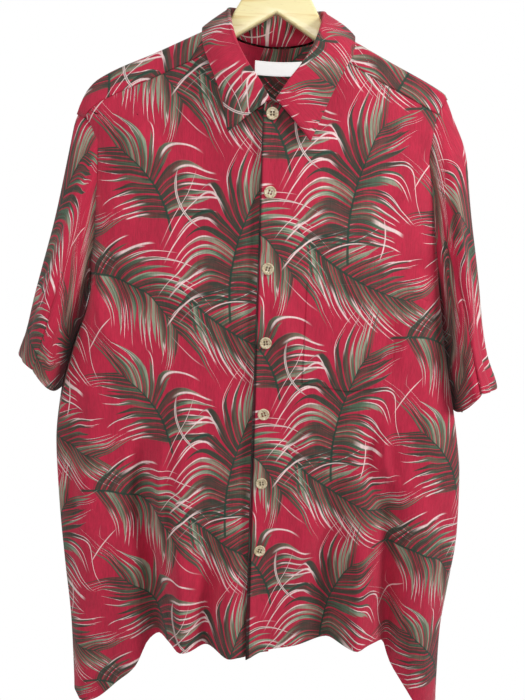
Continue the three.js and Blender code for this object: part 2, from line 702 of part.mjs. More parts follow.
function collar() {
  const half = (leafEdge, sign) => COLLAR_STATIONS.map((station, k) => {
    const signed = ([x, y, z]) => new THREE.Vector3(sign * x, y, z);
    return { seam: collarSeam(station.seam, sign), crease: signed(station.crease), leaf: signed(leafEdge[k]) };
  });
  const stations = [...half(LEAF_EDGE_LEFT, -1), ...half(LEAF_EDGE_RIGHT, 1).slice(0, -1).reverse()];
  const curves = ['seam', 'crease', 'leaf'].map((name) => (
    new THREE.CatmullRomCurve3(stations.map((station) => station[name]), false, 'centripetal')));
  const grid = [];
  for (let k = 0; k <= COLLAR_CELLS; k += 1) {
    const [seam, crease, leaf] = curves.map((curve) => curve.getPoint(k / COLLAR_CELLS));
    const out = leaf.clone().sub(seam).setZ(0);
    const around = curves[1].getTangent(k / COLLAR_CELLS).setZ(0).normalize();
    out.addScaledVector(around, -out.dot(around)).normalize();
    const inside = crease.clone().addScaledVector(out, -COLLAR_TURN);
    const outside = crease.clone().addScaledVector(out, COLLAR_TURN);
    const top = crease.clone();
    top.z += COLLAR_TURN;
    const row = [seam, seam.clone().lerp(inside, 0.5), inside, top, outside];
    for (const share of [0.3, 0.6, 0.85, 1]) {
      const point = outside.clone().lerp(leaf, share);
      point.addScaledVector(out, 2.2 * Math.sin(Math.PI * share));
      row.push(point);
    }
    grid.push(row);
  }
  return wall(grid, COLLAR_WALL);
}

// Pocket and labels

function pocket() {
  const { left, right, top, height, point, wall: thickness } = POCKET;
  const columns = 10;
  const rows = 9;
  const out = CLOTH / 2 + LAYER_GAP + thickness / 2;
  const grid = [];
  for (let i = 0; i <= rows; i += 1) {
    const row = [];
    for (let j = 0; j <= columns; j += 1) {
      const x = mix(left, right, j / columns);
      const middle = 1 - Math.abs((2 * j) / columns - 1);
      row.push(onFace('front', x, top - (height + point * (middle - 1)) * (i / rows), out));
    }
    grid.push(row);
  }
  return wall(grid, thickness);
}

function backNeckPatch({ middle, width, top, height, wall: thickness }, columns) {
  const rows = 2;
  const grid = [];
  const into = -(CLOTH / 2 + LABEL_GAP + thickness / 2);
  for (let i = 0; i <= rows; i += 1) {
    const row = [];
    for (let j = 0; j <= columns; j += 1) {
      const x = middle + width * (j / columns - 0.5);
      row.push(onFace('back', x, top - height * (i / rows), into));
    }
    grid.push(row);
  }
  return wall(grid, thickness, { flip: true });
}

// Buttons

function button() {
  const { radius, thickness } = BUTTON;
  const profile = [
    [0, 0], [radius - 1.4, 0], [radius, 1.2], [radius - 0.6, thickness], [radius - 2.2, thickness - 0.3],
    [radius - 3, thickness - 1], [0, thickness - 1],
  ].map(([r, h]) => new THREE.Vector2(r, h));
  return new THREE.LatheGeometry(profile, 16);
}

function buttonPlace(index) {
  const z = BUTTON.top - index * BUTTON.spacing;
  const x = overlapEdge(z) + BUTTON.fromEdge;
  const step = 6;
  const point = onFace('front', x, z, CLOTH / 2 + LAYER_GAP + 0.5);
  const across = onFace('front', x + step, z).sub(onFace('front', x - step, z));
  const down = onFace('front', x, z - step).sub(onFace('front', x, z + step));
  return { point, normal: down.cross(across).normalize() };
}

// Hanger

function hangerBody() {
  const topLine = HANGER_CROWN.map(({ x, z }) => [x, z]);
  for (const x of HANGER_ARM_STATIONS) {
    topLine.push([x, Math.min(LEFT.ridgeAt(x), RIGHT.ridgeAt(x)) - HANGER_BELOW_CLOTH]);
  }
  const endZ = topLine.at(-1)[1];
  for (const { inset, drop } of HANGER_END_ROUND) topLine.push([HANGER_ARM_END - inset, endZ - drop]);
  const half = [...topLine, ...HANGER_UNDERSIDE.map(({ x, z }) => [x, z])];
  const mirrored = half.slice(1, -1).reverse().map(([x, z]) => [-x, z]);
  const outline = insetOutline([...half, ...mirrored].map(([x, z]) => new THREE.Vector2(x, z)), HANGER_BEVEL);
  const geometry = new THREE.ExtrudeGeometry(new THREE.Shape(outline), {
    depth: HANGER_THICKNESS - 2 * HANGER_BEVEL,
    bevelEnabled: true,
    bevelThickness: HANGER_BEVEL,
    bevelSize: HANGER_BEVEL,
    bevelSegments: 2,
    steps: 1,
  });
  geometry.translate(0, 0, -HANGER_THICKNESS / 2 + HANGER_BEVEL);
  geometry.rotateX(Math.PI / 2);
  return geometry;
}

// Moves a clockwise outline inwards, so that its bevel brings it back to size.
function insetOutline(points, inset) {
  return points.map((point, i) => {
    const before = points[(i + points.length - 1) % points.length];
    const after = points[(i + 1) % points.length];
    const one = point.clone().sub(before).normalize();
    const two = after.clone().sub(point).normalize();
    const inward = new THREE.Vector2(one.y + two.y, -one.x - two.x).normalize();
    const sharpness = Math.max(0.5, Math.sqrt((1 + one.dot(two)) / 2));
    return point.clone().addScaledVector(inward, inset / sharpness);
  });
}

function hook() {
  const radius = HOOK_INNER_RADIUS + HOOK_WIRE / 2;
  const points = [
    new THREE.Vector3(0, 0, HOOK_FOOT), new THREE.Vector3(0, 0, -64), new THREE.Vector3(0.4, 0, -54),
    new THREE.Vector3(3.8, 0, -46),
  ];
  for (let angle = -60; angle <= 205; angle += 22) {
    const turn = THREE.MathUtils.degToRad(angle);
    points.push(new THREE.Vector3(radius * Math.cos(turn), 0, -HOOK_INNER_RADIUS + radius * Math.sin(turn)));
  }
  const wire = new THREE.Shape();
  wire.absarc(0, 0, HOOK_WIRE / 2, 0, 2 * Math.PI, false);
  return new THREE.ExtrudeGeometry(wire, {
    extrudePath: new THREE.CatmullRomCurve3(points, false, 'centripetal'),
    steps: 36,
    curveSegments: 4,
    bevelEnabled: false,
  });
}

// Assembly

function piece(name, geometry, color, roughness, metalness = 0) {
  const mesh = new THREE.Mesh(geometry, new THREE.MeshStandardMaterial({ color, roughness, metalness }));
  mesh.name = name;
  return mesh;
}

const shirt = new THREE.Group();
shirt.add(
  piece('front_right', frontPanel(LEFT), COLOURS.cloth, 0.85),
  piece('front_left', frontPanel(RIGHT), COLOURS.cloth, 0.85),
  piece('back', backPanel(), COLOURS.cloth, 0.85),
  piece('yoke', yoke(), COLOURS.cloth, 0.85),
  piece('sleeve_right', sleevePanel(LEFT), COLOURS.cloth, 0.85),
  piece('sleeve_left', sleevePanel(RIGHT), COLOURS.cloth, 0.85),
  piece('collar', collar(), COLOURS.cloth, 0.85),
  piece('pocket', pocket(), COLOURS.print, 0.85),
  piece('neck_label', backNeckPatch(NECK_LABEL, 6), COLOURS.label, 0.7),
  piece('size_tab', backNeckPatch(SIZE_TAB, 2), COLOURS.label, 0.7),
  piece('hanger_body', hangerBody(), COLOURS.wood, 0.45),
  piece('hanger_hook', hook(), COLOURS.steel, 0.3, 1),
);
for (let k = 0; k < BUTTON.count; k += 1) {
  const mesh = piece(`button_${k + 1}`, button(), COLOURS.button, 0.4);
  const { point, normal } = buttonPlace(k);
  mesh.position.copy(point);
  mesh.quaternion.setFromUnitVectors(new THREE.Vector3(0, 1, 0), normal);
  shirt.add(mesh);
}

export default shirt;
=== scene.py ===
"""Short-sleeved shirt with a palm-frond print, hung on a flat wooden hanger."""

import math

import bmesh
import bpy
import numpy as np
from mathutils import Matrix, Vector


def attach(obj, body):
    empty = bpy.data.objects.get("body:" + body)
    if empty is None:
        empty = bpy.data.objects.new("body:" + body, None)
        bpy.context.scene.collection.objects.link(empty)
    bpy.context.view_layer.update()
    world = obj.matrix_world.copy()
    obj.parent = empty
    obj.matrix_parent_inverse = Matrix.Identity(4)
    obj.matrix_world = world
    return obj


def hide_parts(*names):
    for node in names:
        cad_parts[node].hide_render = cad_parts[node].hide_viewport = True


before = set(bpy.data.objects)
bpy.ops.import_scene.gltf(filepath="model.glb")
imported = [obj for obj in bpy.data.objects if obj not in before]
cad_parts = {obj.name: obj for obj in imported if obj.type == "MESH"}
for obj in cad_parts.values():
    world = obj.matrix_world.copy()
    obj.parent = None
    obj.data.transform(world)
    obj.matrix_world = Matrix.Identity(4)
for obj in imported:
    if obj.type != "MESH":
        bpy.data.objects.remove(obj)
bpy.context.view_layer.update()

bl_info = {
    "name": "Palm Shirt",
    "version": (1, 0, 0),
    "blender": (4, 5, 0),
    "location": "View3D > Sidebar > Palm Shirt",
    "description": "Builds a hung palm-print shirt from its cut pieces",
    "category": "Add Mesh",
}

MM = 0.001

# Millimetres from here on. x is across, y runs from the front to the back, z is up.
# Rows for one side give x as a distance from the middle.

RIDGE_RADIUS = 8
FRONT_SEAM_DROP = 32
BACK_SEAM = (-262, -300)
NECK_SIDE = 64
UNDERARM = -478
# Rows closer together between these heights, above and below the underarm.
UNDERARM_ROWS = (-440, -462, -474)
DEPTH_ROWS = [(-150, 46, 40), (-300, 50, 46), (-450, 58, 52), (-650, 64, 56), (-1070, 66, 58)]
DEPTH_REACHED = {"front": 95, "back": 80}
SECTION_POWER = 3.2
RIDGE_POWER = (12, 8, 90)
SECTION_SIZE = (250, 60)
NECK_BULGE = {"front": (18, 60, 100, 200), "back": (26, 50, 20, 150)}
OVERLAP_EDGE = (-12, -3)
UNDERLAP_EDGE = 24
UNDERLAP_STEP = (-30, -15, 3.4)
OPENING_TOP = -251
OVERLAP_FOOT = -960
UNDERARM_FOOT = -486
CUFF = 19
# Thickness of the sheets that don't follow the setting.
COLLAR_CLOTH, POCKET_CLOTH, LABEL_CLOTH = 1.2, 0.9, 0.5
NECKLINE = [(0, -251), (8, -250), (21, -232), (38, -213), (52, -192), (59, -179.5)]
BACK_NECK = [(67.4, 0), (63, 7.3), (54.5, 13.2), (44, 16.5), (33, 18.3), (22, 19.3), (11, 19.8), (0, 20)]


class Curve:
    """Smooth curve through table rows that never overshoots them."""

    def __init__(self, rows, key=0, value=1):
        rows = sorted((row[key], row[value]) for row in rows)
        self.at = np.array([row[0] for row in rows], float)
        self.value = np.array([row[1] for row in rows], float)
        slopes = np.diff(self.value) / np.diff(self.at)
        self.tangent = np.zeros(len(rows))
        self.tangent[0], self.tangent[-1] = slopes[0], slopes[-1]
        for i in range(1, len(rows) - 1):
            before, after = slopes[i - 1], slopes[i]
            if before * after > 0:
                self.tangent[i] = 2 * before * after / (before + after)

    def __call__(self, at):
        at = np.clip(np.asarray(at, float), self.at[0], self.at[-1])
        i = np.clip(np.searchsorted(self.at, at, side="right") - 1, 0, len(self.at) - 2)
        span = self.at[i + 1] - self.at[i]
        t = (at - self.at[i]) / span
        return (
            (2 * t**3 - 3 * t**2 + 1) * self.value[i]
            + (t**3 - 2 * t**2 + t) * span * self.tangent[i]
            + (-2 * t**3 + 3 * t**2) * self.value[i + 1]
            + (t**3 - t**2) * span * self.tangent[i + 1]
        )


class Side:
    """One side of the shirt: its shoulder ridge, armhole edge, side seam and hem."""

    def __init__(self, sign, ridge, edge, hem, sleeve_outer, sleeve_hem, outer_y):
        self.sign = sign
        self.top = edge[0][0]
        self.ridge = Curve(ridge)
        self.edge_x = Curve(edge, 0, 1)
        self.edge_out = {"front": Curve(edge, 0, 2), "back": Curve(edge, 0, 3)}
        self.hem = Curve(hem)
        self.outer_x = Curve(sleeve_outer, 0, 1)
        self.outer_z = Curve(sleeve_outer, 0, 2)
        self.outer_end = sleeve_outer[-1]
        self.sleeve_hem = sleeve_hem
        self.outer_y = outer_y


# ridge: x, z. edge: z, x, front, back. hem: share, z. sleeve outer: share, x, z.
LEFT = Side(
    -1,
    [(NECK_SIDE, -148), (141, -184.5), (218, -221), (232, -235), (240, -250), (246, -264)],
    [
        (-264, 246, 0, 0), (-266, 240, 6, 6), (-271, 232, 11, 11), (-283, 222, 16, 17),
        (-300, 217.5, 19, 20), (-346, 218, 22, 23), (-406, 219, 23, 24), (-440, 223, 22, 22),
        (-462, 226, 15, 15), (-474, 228, 8, 8), (-478, 228.5, 0, 0), (-507, 235, 0, 0),
        (-552, 251, 0, 0), (-626, 270, 0, 0), (-695, 277, 0, 0), (-755, 275, 0, 0),
        (-855, 267, 0, 0), (-946, 258, 0, 0), (-1060, 253, 0, 0),
    ],
    [(0, -957), (0.45, -951), (0.53, -960), (0.58, -990), (0.65, -1012), (0.78, -1048),
     (0.84, -1052), (0.92, -1038), (1, -1018)],
    [(0, 246, -264), (0.35, 271, -377), (0.75, 302, -499), (0.92, 312, -549), (1, 321, -569)],
    {"front": (288, -60, -583), "inner": (274, 8, -622), "back": (300, 84, -606)},
    6,
)
RIGHT = Side(
    1,
    [(NECK_SIDE, -148), (139, -185), (208, -218.5), (214, -222.5), (218, -228)],
    [
        (-228, 218, 0, 0), (-230, 215, 6, 6), (-237, 210, 10, 10), (-252, 204, 14, 15),
        (-272, 200, 18, 18), (-300, 200, 20, 21), (-340, 205, 22, 23), (-388, 211, 23, 24),
        (-437, 219, 22, 22), (-460, 224, 15, 15), (-473, 227, 8, 8), (-478, 228, 0, 0),
        (-525, 236, 0, 0), (-577, 247, 0, 0), (-657, 265, 0, 0), (-712, 274, 0, 0),
        (-801, 278, 0, 0), (-877, 272, 0, 0), (-945, 267, 0, 0), (-1070, 271, 0, 0),
    ],
    [(0, -957), (0.2, -948), (0.55, -944), (0.62, -952), (0.66, -985), (0.72, -1008),
     (0.8, -1044), (0.87, -1062), (1, -1048)],
    [(0, 218, -228), (0.18, 249, -287), (0.36, 257, -350), (0.63, 275, -449), (0.88, 290, -545), (1, 311, -588)],
    {"front": (280, -58, -590), "inner": (262, 8, -628), "back": (298, 80, -652)},
    0,
)

# Heights at which a hanging fold is at its full rise, and at which its hem end is measured.
FOLD_FULL, FOLD_END = -940, -950
# How much deeper the folds and creases hang than their tables say.
FOLD_DEEPENING, CREASE_DEEPENING = 1.6, 2.0
# Folds that hang from the shoulders: x at the hem, x at the top, top height, rise, half-widths.
HANGING_FOLDS = {
    "front": [
        (-232, -205, -330, 7, 14, 20), (-130, -160, -560, -18, 20, 15), (-92, -98, -520, 14, 12, 26),
        (-62, -66, -720, -8, 14, 14), (-26, -40, -690, 15, 18, 34), (104, 96, -600, -15, 34, 16),
        (142, 138, -640, 9, 14, 12), (190, 160, -560, -20, 18, 13), (236, 200, -330, 8, 20, 15),
    ],
    "back": [
        (-215, -196, -380, 8, 18, 18), (-160, -150, -520, -14, 18, 20), (-112, -110, -480, 12, 20, 20),
        (-48, -60, -600, -10, 24, 20), (8, 0, -300, 11, 26, 22), (70, 58, -560, -13, 22, 24),
        (126, 112, -500, 12, 20, 22), (178, 160, -540, -15, 20, 16), (226, 200, -380, 8, 18, 18),
    ],
}
# Shorter creases: both ends as x and z, then how far they stand out and how wide they are.
CREASES = {
    "front": [
        (164, -641, 179, -720, 4.0, 6), (150, -640, 166, -760, -5.0, 9), (-108, -630, -104, -836, 4.0, 8),
        (-151, -682, -116, -890, -5.0, 10), (-214, -462, -176, -560, 5.0, 12), (-205, -440, -150, -500, -3.5, 12),
        (210, -458, 176, -560, 5.0, 12), (206, -430, 158, -468, -3.0, 12), (-175, -258, -128, -330, 3.0, 16),
        (-205, -300, -150, -390, -3.0, 16), (150, -240, 118, -330, 3.0, 16), (190, -300, 130, -400, -3.0, 15),
        (70, -300, 96, -380, -2.5, 16), (-70, -300, -90, -420, -2.5, 18), (-120, -430, -60, -520, 2.2, 16),
        (-40, -560, -84, -640, -2.6, 14), (60, -600, 40, -700, -2.6, 14), (20, -470, 46, -560, 2.0, 12),
        (216, -640, 236, -760, -4.0, 12), (-230, -640, -240, -780, -4.0, 12), (-190, -780, -210, -900, 3.5, 12),
        (90, -760, 60, -850, 3.0, 14), (-20, -800, -50, -890, -3.0, 10), (222, -820, 214, -960, 3.0, 10),
    ],
    "back": [
        (-205, -470, -150, -560, 5.0, 13), (205, -470, 150, -560, 5.0, 13), (-60, -320, -90, -450, -3.0, 18),
        (60, -320, 96, -450, -3.0, 18), (-150, -330, -110, -400, 3.0, 16), (150, -330, 110, -400, 3.0, 16),
        (-20, -620, 10, -740, 3.0, 16), (110, -700, 90, -820, -3.5, 14), (-120, -700, -90, -800, -3.5, 14),
        (216, -640, 230, -780, -4.0, 12), (-226, -640, -236, -780, -4.0, 12), (40, -860, 20, -940, 3.0, 12),
    ],
}
DEPTH = {"front": Curve(DEPTH_ROWS, 0, 1), "back": Curve(DEPTH_ROWS, 0, 2)}
NECK_AT = Curve(NECKLINE)
BACK_NECK_AT = Curve(BACK_NECK)


def smoothstep(low, high, at):
    t = np.clip((np.asarray(at, float) - low) / (high - low), 0, 1)
    return t * t * (3 - 2 * t)


def mix(a, b, t):
    return a + (b - a) * t


def section_walk():
    """Share of the walk, of the half-width and of the depth round a quarter of the body's section."""
    angle = np.linspace(0, math.pi / 2, 241)
    reach = (np.sin(angle) ** SECTION_POWER + np.cos(angle) ** SECTION_POWER) ** (-1 / SECTION_POWER)
    across = np.sin(angle) * reach
    deep = np.cos(angle) * reach
    deep[-1] = 0
    steps = np.hypot(np.diff(across) * SECTION_SIZE[0], np.diff(deep) * SECTION_SIZE[1])
    walked = np.concatenate([[0], np.cumsum(steps)])
    return walked / walked[-1], across, walked[-1]


SECTION_SHARE, SECTION_ACROSS, SECTION_LENGTH = section_walk()


def across_at(share):
    return np.interp(share, SECTION_SHARE, SECTION_ACROSS)


def share_at(across):
    return np.interp(across, SECTION_ACROSS, SECTION_SHARE)


def section_power(drop):
    return mix(RIDGE_POWER[0], SECTION_POWER, smoothstep(RIDGE_POWER[1], RIDGE_POWER[2], drop))


def deep_at(across, power):
    return np.maximum(0, 1 - np.minimum(1, np.abs(across)) ** power) ** (1 / power)


def draped_depth(face, drop, z):
    """Depth of the cloth below the shoulder line, before the section rounds it off."""
    up = np.clip(RIDGE_RADIUS - drop, 0, RIDGE_RADIUS)
    over = np.sqrt(np.maximum(0, RIDGE_RADIUS**2 - up**2))
    full = DEPTH[face](z) - RIDGE_RADIUS
    fall = np.maximum(0, drop - RIDGE_RADIUS)
    return np.where(drop <= RIDGE_RADIUS, over, RIDGE_RADIUS + full * (1 - np.exp(-fall / DEPTH_REACHED[face])))


def edge_of(side, face, z):
    """Share of the walk at which a panel ends, and the half-width that puts its edge in place."""
    x = side.edge_x(z)
    drop = side.ridge(x) - z
    deep = np.minimum(0.95, side.edge_out[face](z) / np.maximum(1, draped_depth(face, drop, z)))
    across = deep_at(deep, section_power(drop))
    return share_at(across), x / across


def fold_rise(face, x, z):
    rise = np.zeros(np.broadcast(x, z).shape)
    for hem, start, top, height, left, right in HANGING_FOLDS[face]:
        down = smoothstep(top, FOLD_FULL, z)
        middle = mix(start, hem, np.minimum(1.1, (top - z) / (top - FOLD_END)))
        away = (x - middle) / np.where(x < middle, left, right)
        rise = rise + np.where(z < top, FOLD_DEEPENING * height * down * np.exp(-away * away), 0)
    return rise


def crease_rise(face, x, z):
    """Soft creases and the cloth's slow unevenness."""
    rise = np.zeros(np.broadcast(x, z).shape)
    for x0, z0, x1, z1, height, width in CREASES[face]:
        dx, dz = x1 - x0, z1 - z0
        length = math.hypot(dx, dz)
        along = ((x - x0) * dx + (z - z0) * dz) / length**2
        bow = 0.1 * length * np.sin(math.pi * np.clip(along, 0, 1))
        off = ((x - x0) * dz - (z - z0) * dx) / length - bow
        ends = smoothstep(-0.18, 0.3, along) * smoothstep(1.2, 0.62, along)
        rise = rise + CREASE_DEEPENING * height * ends * np.exp(-(off / width) ** 2)
    turn = 0.0 if face == "front" else 2.0
    rise = rise + 0.9 * np.sin(x / 17 + 1.3 * np.sin(z / 90 + turn)) * np.sin(z / 120 + turn)
    rise = rise + 0.6 * np.sin(x / 9.5 + 0.9 * np.sin(z / 47) + turn) * np.sin(z / 64 + x / 80 + 1)
    rise = rise + 0.5 * np.sin(z / 23 + x / 37 + turn) * np.sin(x / 41 + 2)
    return rise


def smooth_depth(side, face, x, z):
    """Depth of the cloth without its neck and folds."""
    away = np.abs(x)
    _, width = edge_of(side, face, z)
    drop = side.ridge(away) - z
    return draped_depth(face, drop, z) * deep_at(away / width, section_power(drop))


def cloth_depth_on(side, face, x, z, fine):
    away = np.abs(x)
    drop = side.ridge(away) - z
    _, width = edge_of(side, face, z)
    rounded = deep_at(away / width, section_power(drop))
    depth, spread, at, fade = NECK_BULGE[face]
    fading = np.minimum(1.3, np.exp(-(drop - at) / fade)) * smoothstep(0, 14, drop)
    neck = depth * np.exp(-((away / spread) ** 2)) * fading
    flat = np.sqrt(rounded) * smoothstep(0, 0.3, rounded)
    folds = fold_rise(face, x, z) * flat
    if fine:
        folds = folds + crease_rise(face, x, z) * flat * smoothstep(4, 60, drop)
    return draped_depth(face, drop, z) * rounded + neck + folds


def on_face(face, x, z, out=0.0, fine=True):
    """Points of the hung cloth at x and z on the front or back face."""
    x, z = np.broadcast_arrays(np.asarray(x, float), np.asarray(z, float))
    depth = np.where(
        x < 0, cloth_depth_on(LEFT, face, x, z, fine), cloth_depth_on(RIGHT, face, x, z, fine)
    ) + out
    return np.stack([x, -depth if face == "front" else depth, z], axis=-1)


def settle(curve, shape, low=-540.0, high=-100.0):
    """Solves z = curve(z) by halving."""
    below, above = np.full(shape, low), np.full(shape, high)
    for _ in range(40):
        middle = (below + above) / 2
        over = middle > curve(middle)
        above = np.where(over, middle, above)
        below = np.where(over, below, middle)
    return (below + above) / 2


def face_x(side, face, share, z, start=0.0):
    end, width = edge_of(side, face, z)
    walked = mix(start / SECTION_LENGTH, end, share)
    return np.sign(walked) * width * across_at(np.abs(walked))


def front_top(side, x):
    away = np.abs(x)
    return np.where(away < NECKLINE[-1][0], NECK_AT(away), side.ridge(away) - FRONT_SEAM_DROP)


def overlap_edge(z):
    return mix(*OVERLAP_EDGE, (OPENING_TOP - z) / (OPENING_TOP - OVERLAP_FOOT))


def spaced(stops, step):
    """Values from stop to stop, no further apart than step."""
    out = [stops[0]]
    for a, b in zip(stops, stops[1:]):
        count = max(1, math.ceil(abs(b - a) / step))
        out += [a + (b - a) * (k + 1) / count for k in range(count)]
    return np.array(out)


def panel_rows(side, top, body_rows=None):
    """Heights of a panel's rows along its side edge, closer at the underarm and at the turned hem."""
    hem = float(side.hem(1))
    arm = spaced([top, UNDERARM_ROWS[0]], 6)
    under = spaced([*UNDERARM_ROWS, UNDERARM, UNDERARM_FOOT], 2.2)[1:]
    below = UNDERARM_FOOT, hem + 9
    body = np.linspace(*below, body_rows) if body_rows else spaced(below, 6.5)
    return np.concatenate([arm, under, body[1:], [hem + up for up in (7.5, 6.6, 5, 2, 0.6, 0)]])


def seam_corner(side):
    """How far out the front's yoke seam meets the armhole."""
    return float(side.edge_x(settle(lambda z: side.ridge(side.edge_x(z)) - FRONT_SEAM_DROP, ())))


def front_grid(side):
    on_top = side is RIGHT
    start_at = overlap_edge if on_top else (lambda z: np.zeros(np.shape(z)) - UNDERLAP_EDGE)
    first = float(start_at(OPENING_TOP))
    corner = seam_corner(side)
    lead = [first, first + 0.6, first + 5, first + 6.5] if on_top else [first, first + 5]
    columns = np.concatenate([lead, spaced([lead[-1] + 2, 8, 59, corner - 6, corner], 4.2)])
    tops = front_top(side, columns)
    end, width = edge_of(side, "front", tops)
    begin = start_at(tops) / SECTION_LENGTH
    walked = np.sign(columns) * share_at(np.abs(columns) / width)
    shares = (walked - begin) / (end - begin)
    shares[0], shares[-1] = 0, 1
    rows = panel_rows(side, float(tops[-1]))
    down = ((rows - rows[0]) / (rows[-1] - rows[0]))[:, None]
    z = mix(tops[None, :], side.hem(shares)[None, :], down)
    x = side.sign * face_x(side, "front", shares[None, :], z, start_at(z))
    out = np.zeros(z.shape)
    if on_top:
        from_edge = x - start_at(z)
        out += 2.7 * np.exp(-((from_edge / 8.0) ** 2))
    else:
        out -= UNDERLAP_STEP[2] * smoothstep(UNDERLAP_STEP[0], UNDERLAP_STEP[1], x)
    beyond_neck = smoothstep(NECKLINE[-1][0], NECKLINE[-1][0] + 8, np.abs(x))
    tucked = beyond_neck * smoothstep(0.02, 0, down)
    z = z + 3.5 * tucked
    out = out - 1.2 * tucked
    grid = on_face("front", x, z, out)
    grid[..., 1] = np.minimum(grid[..., 1], -0.3)
    return grid


def back_seam(side, x):
    reach = side.edge_x(BACK_SEAM[1])
    return mix(BACK_SEAM[0], BACK_SEAM[1], (np.abs(x) / reach) ** 1.5)


def joined(halves):
    """Left half from the side to the middle, then the right half back to its side."""
    return np.concatenate([halves[0], halves[1][:, -2::-1]], axis=1)


def back_rows(side):
    """Share of the way down at each row of the back, the same number of rows on both sides."""
    rows = panel_rows(side, BACK_SEAM[1], 84)
    return (rows - rows[0]) / (rows[-1] - rows[0])


def back_grid():
    halves = []
    middle = (back_rows(LEFT) + back_rows(RIGHT)) / 2
    for side in (LEFT, RIGHT):
        share = 1 - np.linspace(0, 1, 66)
        tops = settle(lambda z: back_seam(side, face_x(side, "back", share, z)), share.shape)
        down = mix(middle[:, None], back_rows(side)[:, None], smoothstep(0, 0.7, share)[None, :])
        z = mix(tops[None, :], side.hem(share)[None, :], down)
        x = side.sign * face_x(side, "back", share[None, :], z)
        points = on_face("back", x, z)
        points[..., 1] = np.maximum(points[..., 1], 0.3)
        halves.append(points)
    return joined(halves)


def way_of_drop(drop):
    turn = RIDGE_RADIUS * math.pi / 2
    drop = np.asarray(drop, float)
    over = RIDGE_RADIUS * np.arccos(np.clip(1 - drop / RIDGE_RADIUS, -1, 1))
    return np.where(drop < RIDGE_RADIUS, over, turn + drop - RIDGE_RADIUS)


def drop_of_way(way):
    turn = RIDGE_RADIUS * math.pi / 2
    walked = np.abs(way)
    return np.where(
        walked < turn, RIDGE_RADIUS * (1 - np.cos(walked / RIDGE_RADIUS)), RIDGE_RADIUS + walked - turn
    )


YOKE_SEAM_CELLS = 46


def yoke_grid():
    """Yoke from the front seam, over the ridge, to the back seam."""
    turn = RIDGE_RADIUS * math.pi / 2
    halves = []
    for side in (LEFT, RIGHT):
        corner = seam_corner(side)
        seam_way = -float(way_of_drop(FRONT_SEAM_DROP))
        seam_x = np.linspace(corner, NECKLINE[-1][0], YOKE_SEAM_CELLS + 1)
        start = [(x, seam_way) for x in seam_x]
        start += [(x, -float(way_of_drop(d))) for x, d in ((61.6, 24), (64, 17), (66.4, 10), (67.2, 4))]
        neck = spaced([x for x, _ in BACK_NECK], 4.5)
        start += [(x, float(way_of_drop(BACK_NECK_AT(x)))) for x in neck]
        count = len(start)
        outer = float(side.edge_x(BACK_SEAM[1]))
        end_x = outer * (1 - np.arange(count) / (count - 1))
        end_way = way_of_drop(side.ridge(end_x) - back_seam(side, end_x))
        front_ways = np.linspace(seam_way, -turn, 9)[:-1]
        ridge_ways = np.linspace(-turn, turn, 9)
        back_shares = np.linspace(0, 1, 22)[1:]
        columns = []
        edge_ways = np.concatenate([front_ways, ridge_ways, mix(turn, end_way[0], back_shares)])
        edge_z = settle(lambda z: side.ridge(side.edge_x(z)) - drop_of_way(edge_ways), edge_ways.shape)
        edge_x = side.edge_x(edge_z)
        edge_down = (edge_ways - seam_way) / (end_way[0] - seam_way)
        pull_edge = edge_x - mix(corner, end_x[0], edge_down)
        for k, (from_x, from_way) in enumerate(start):
            ways = np.concatenate([front_ways, ridge_ways, mix(turn, end_way[k], back_shares)])
            ways = from_way + (ways - seam_way) * (end_way[k] - from_way) / (end_way[k] - seam_way)
            down = (ways - from_way) / (end_way[k] - from_way)
            pull = pull_edge * max(0.0, 1 - k / 22)
            spread = 0.0
            if k <= YOKE_SEAM_CELLS:
                rising = smoothstep(0, 1, (ways - seam_way) / (-turn - seam_way))
                spread = 9 * (k / YOKE_SEAM_CELLS) ** 2.6 * rising * (1 - down)
            x = side.sign * (mix(from_x, end_x[k], down) + pull + spread)
            z = side.ridge(np.abs(x)) - drop_of_way(ways)
            columns.append(np.where((ways < 0)[:, None], on_face("front", x, z), on_face("back", x, z)))
        halves.append(np.stack(columns, axis=1))
    return joined(halves)


def armhole_points(side, angle):
    z = mix(side.top, UNDERARM, (1 - np.cos(angle)) / 2)
    out = np.where(np.sin(angle) > 0, -side.edge_out["front"](z), side.edge_out["back"](z))
    beside = 2.0 * smoothstep(0.2, 0.8, -np.cos(angle))
    outward = 0.4 + 0.6 * np.abs(np.sin(angle)) + beside
    down = np.maximum(0, np.cos(angle))
    return np.stack([side.edge_x(z) + outward, out, z - down], axis=-1)


def sleeve_hem_points(side, angle):
    cos, sin = np.cos(angle), np.sin(angle)
    end = side.outer_end
    corner = np.where((sin > 0)[:, None], side.sleeve_hem["front"], side.sleeve_hem["back"])
    tip = np.where((cos > 0)[:, None], (end[1], side.outer_y, end[2]), side.sleeve_hem["inner"])
    share = np.abs(cos) ** 1.6
    return np.stack([
        mix(corner[:, 0], tip[:, 0], share),
        mix(tip[:, 1], corner[:, 1], np.abs(sin) ** 0.75),
        mix(corner[:, 2], tip[:, 2], share),
    ], axis=-1)


# Sleeve folds: share of the length where they start and end, angle round at both, rise, width.
SLEEVE_FOLDS = [
    (0.05, 0.75, 0.75, 1.25, -5.0, 0.13), (0.2, 1.0, 1.3, 1.75, 5.0, 0.16), (0.35, 1.0, 0.55, 0.75, 4.0, 0.14),
    (0.5, 1.0, 2.2, 1.95, -6.0, 0.14), (0.0, 0.55, 1.9, 1.5, 4.0, 0.15), (0.15, 0.9, 4.3, 4.7, -5.0, 0.16),
    (0.1, 0.8, 5.2, 4.9, 5.0, 0.17), (0.55, 1.0, 5.6, 5.5, -4.0, 0.13), (0.4, 1.0, 3.6, 3.9, 5.0, 0.16),
    (0.25, 0.7, 2.8, 2.5, 4.0, 0.2),
]


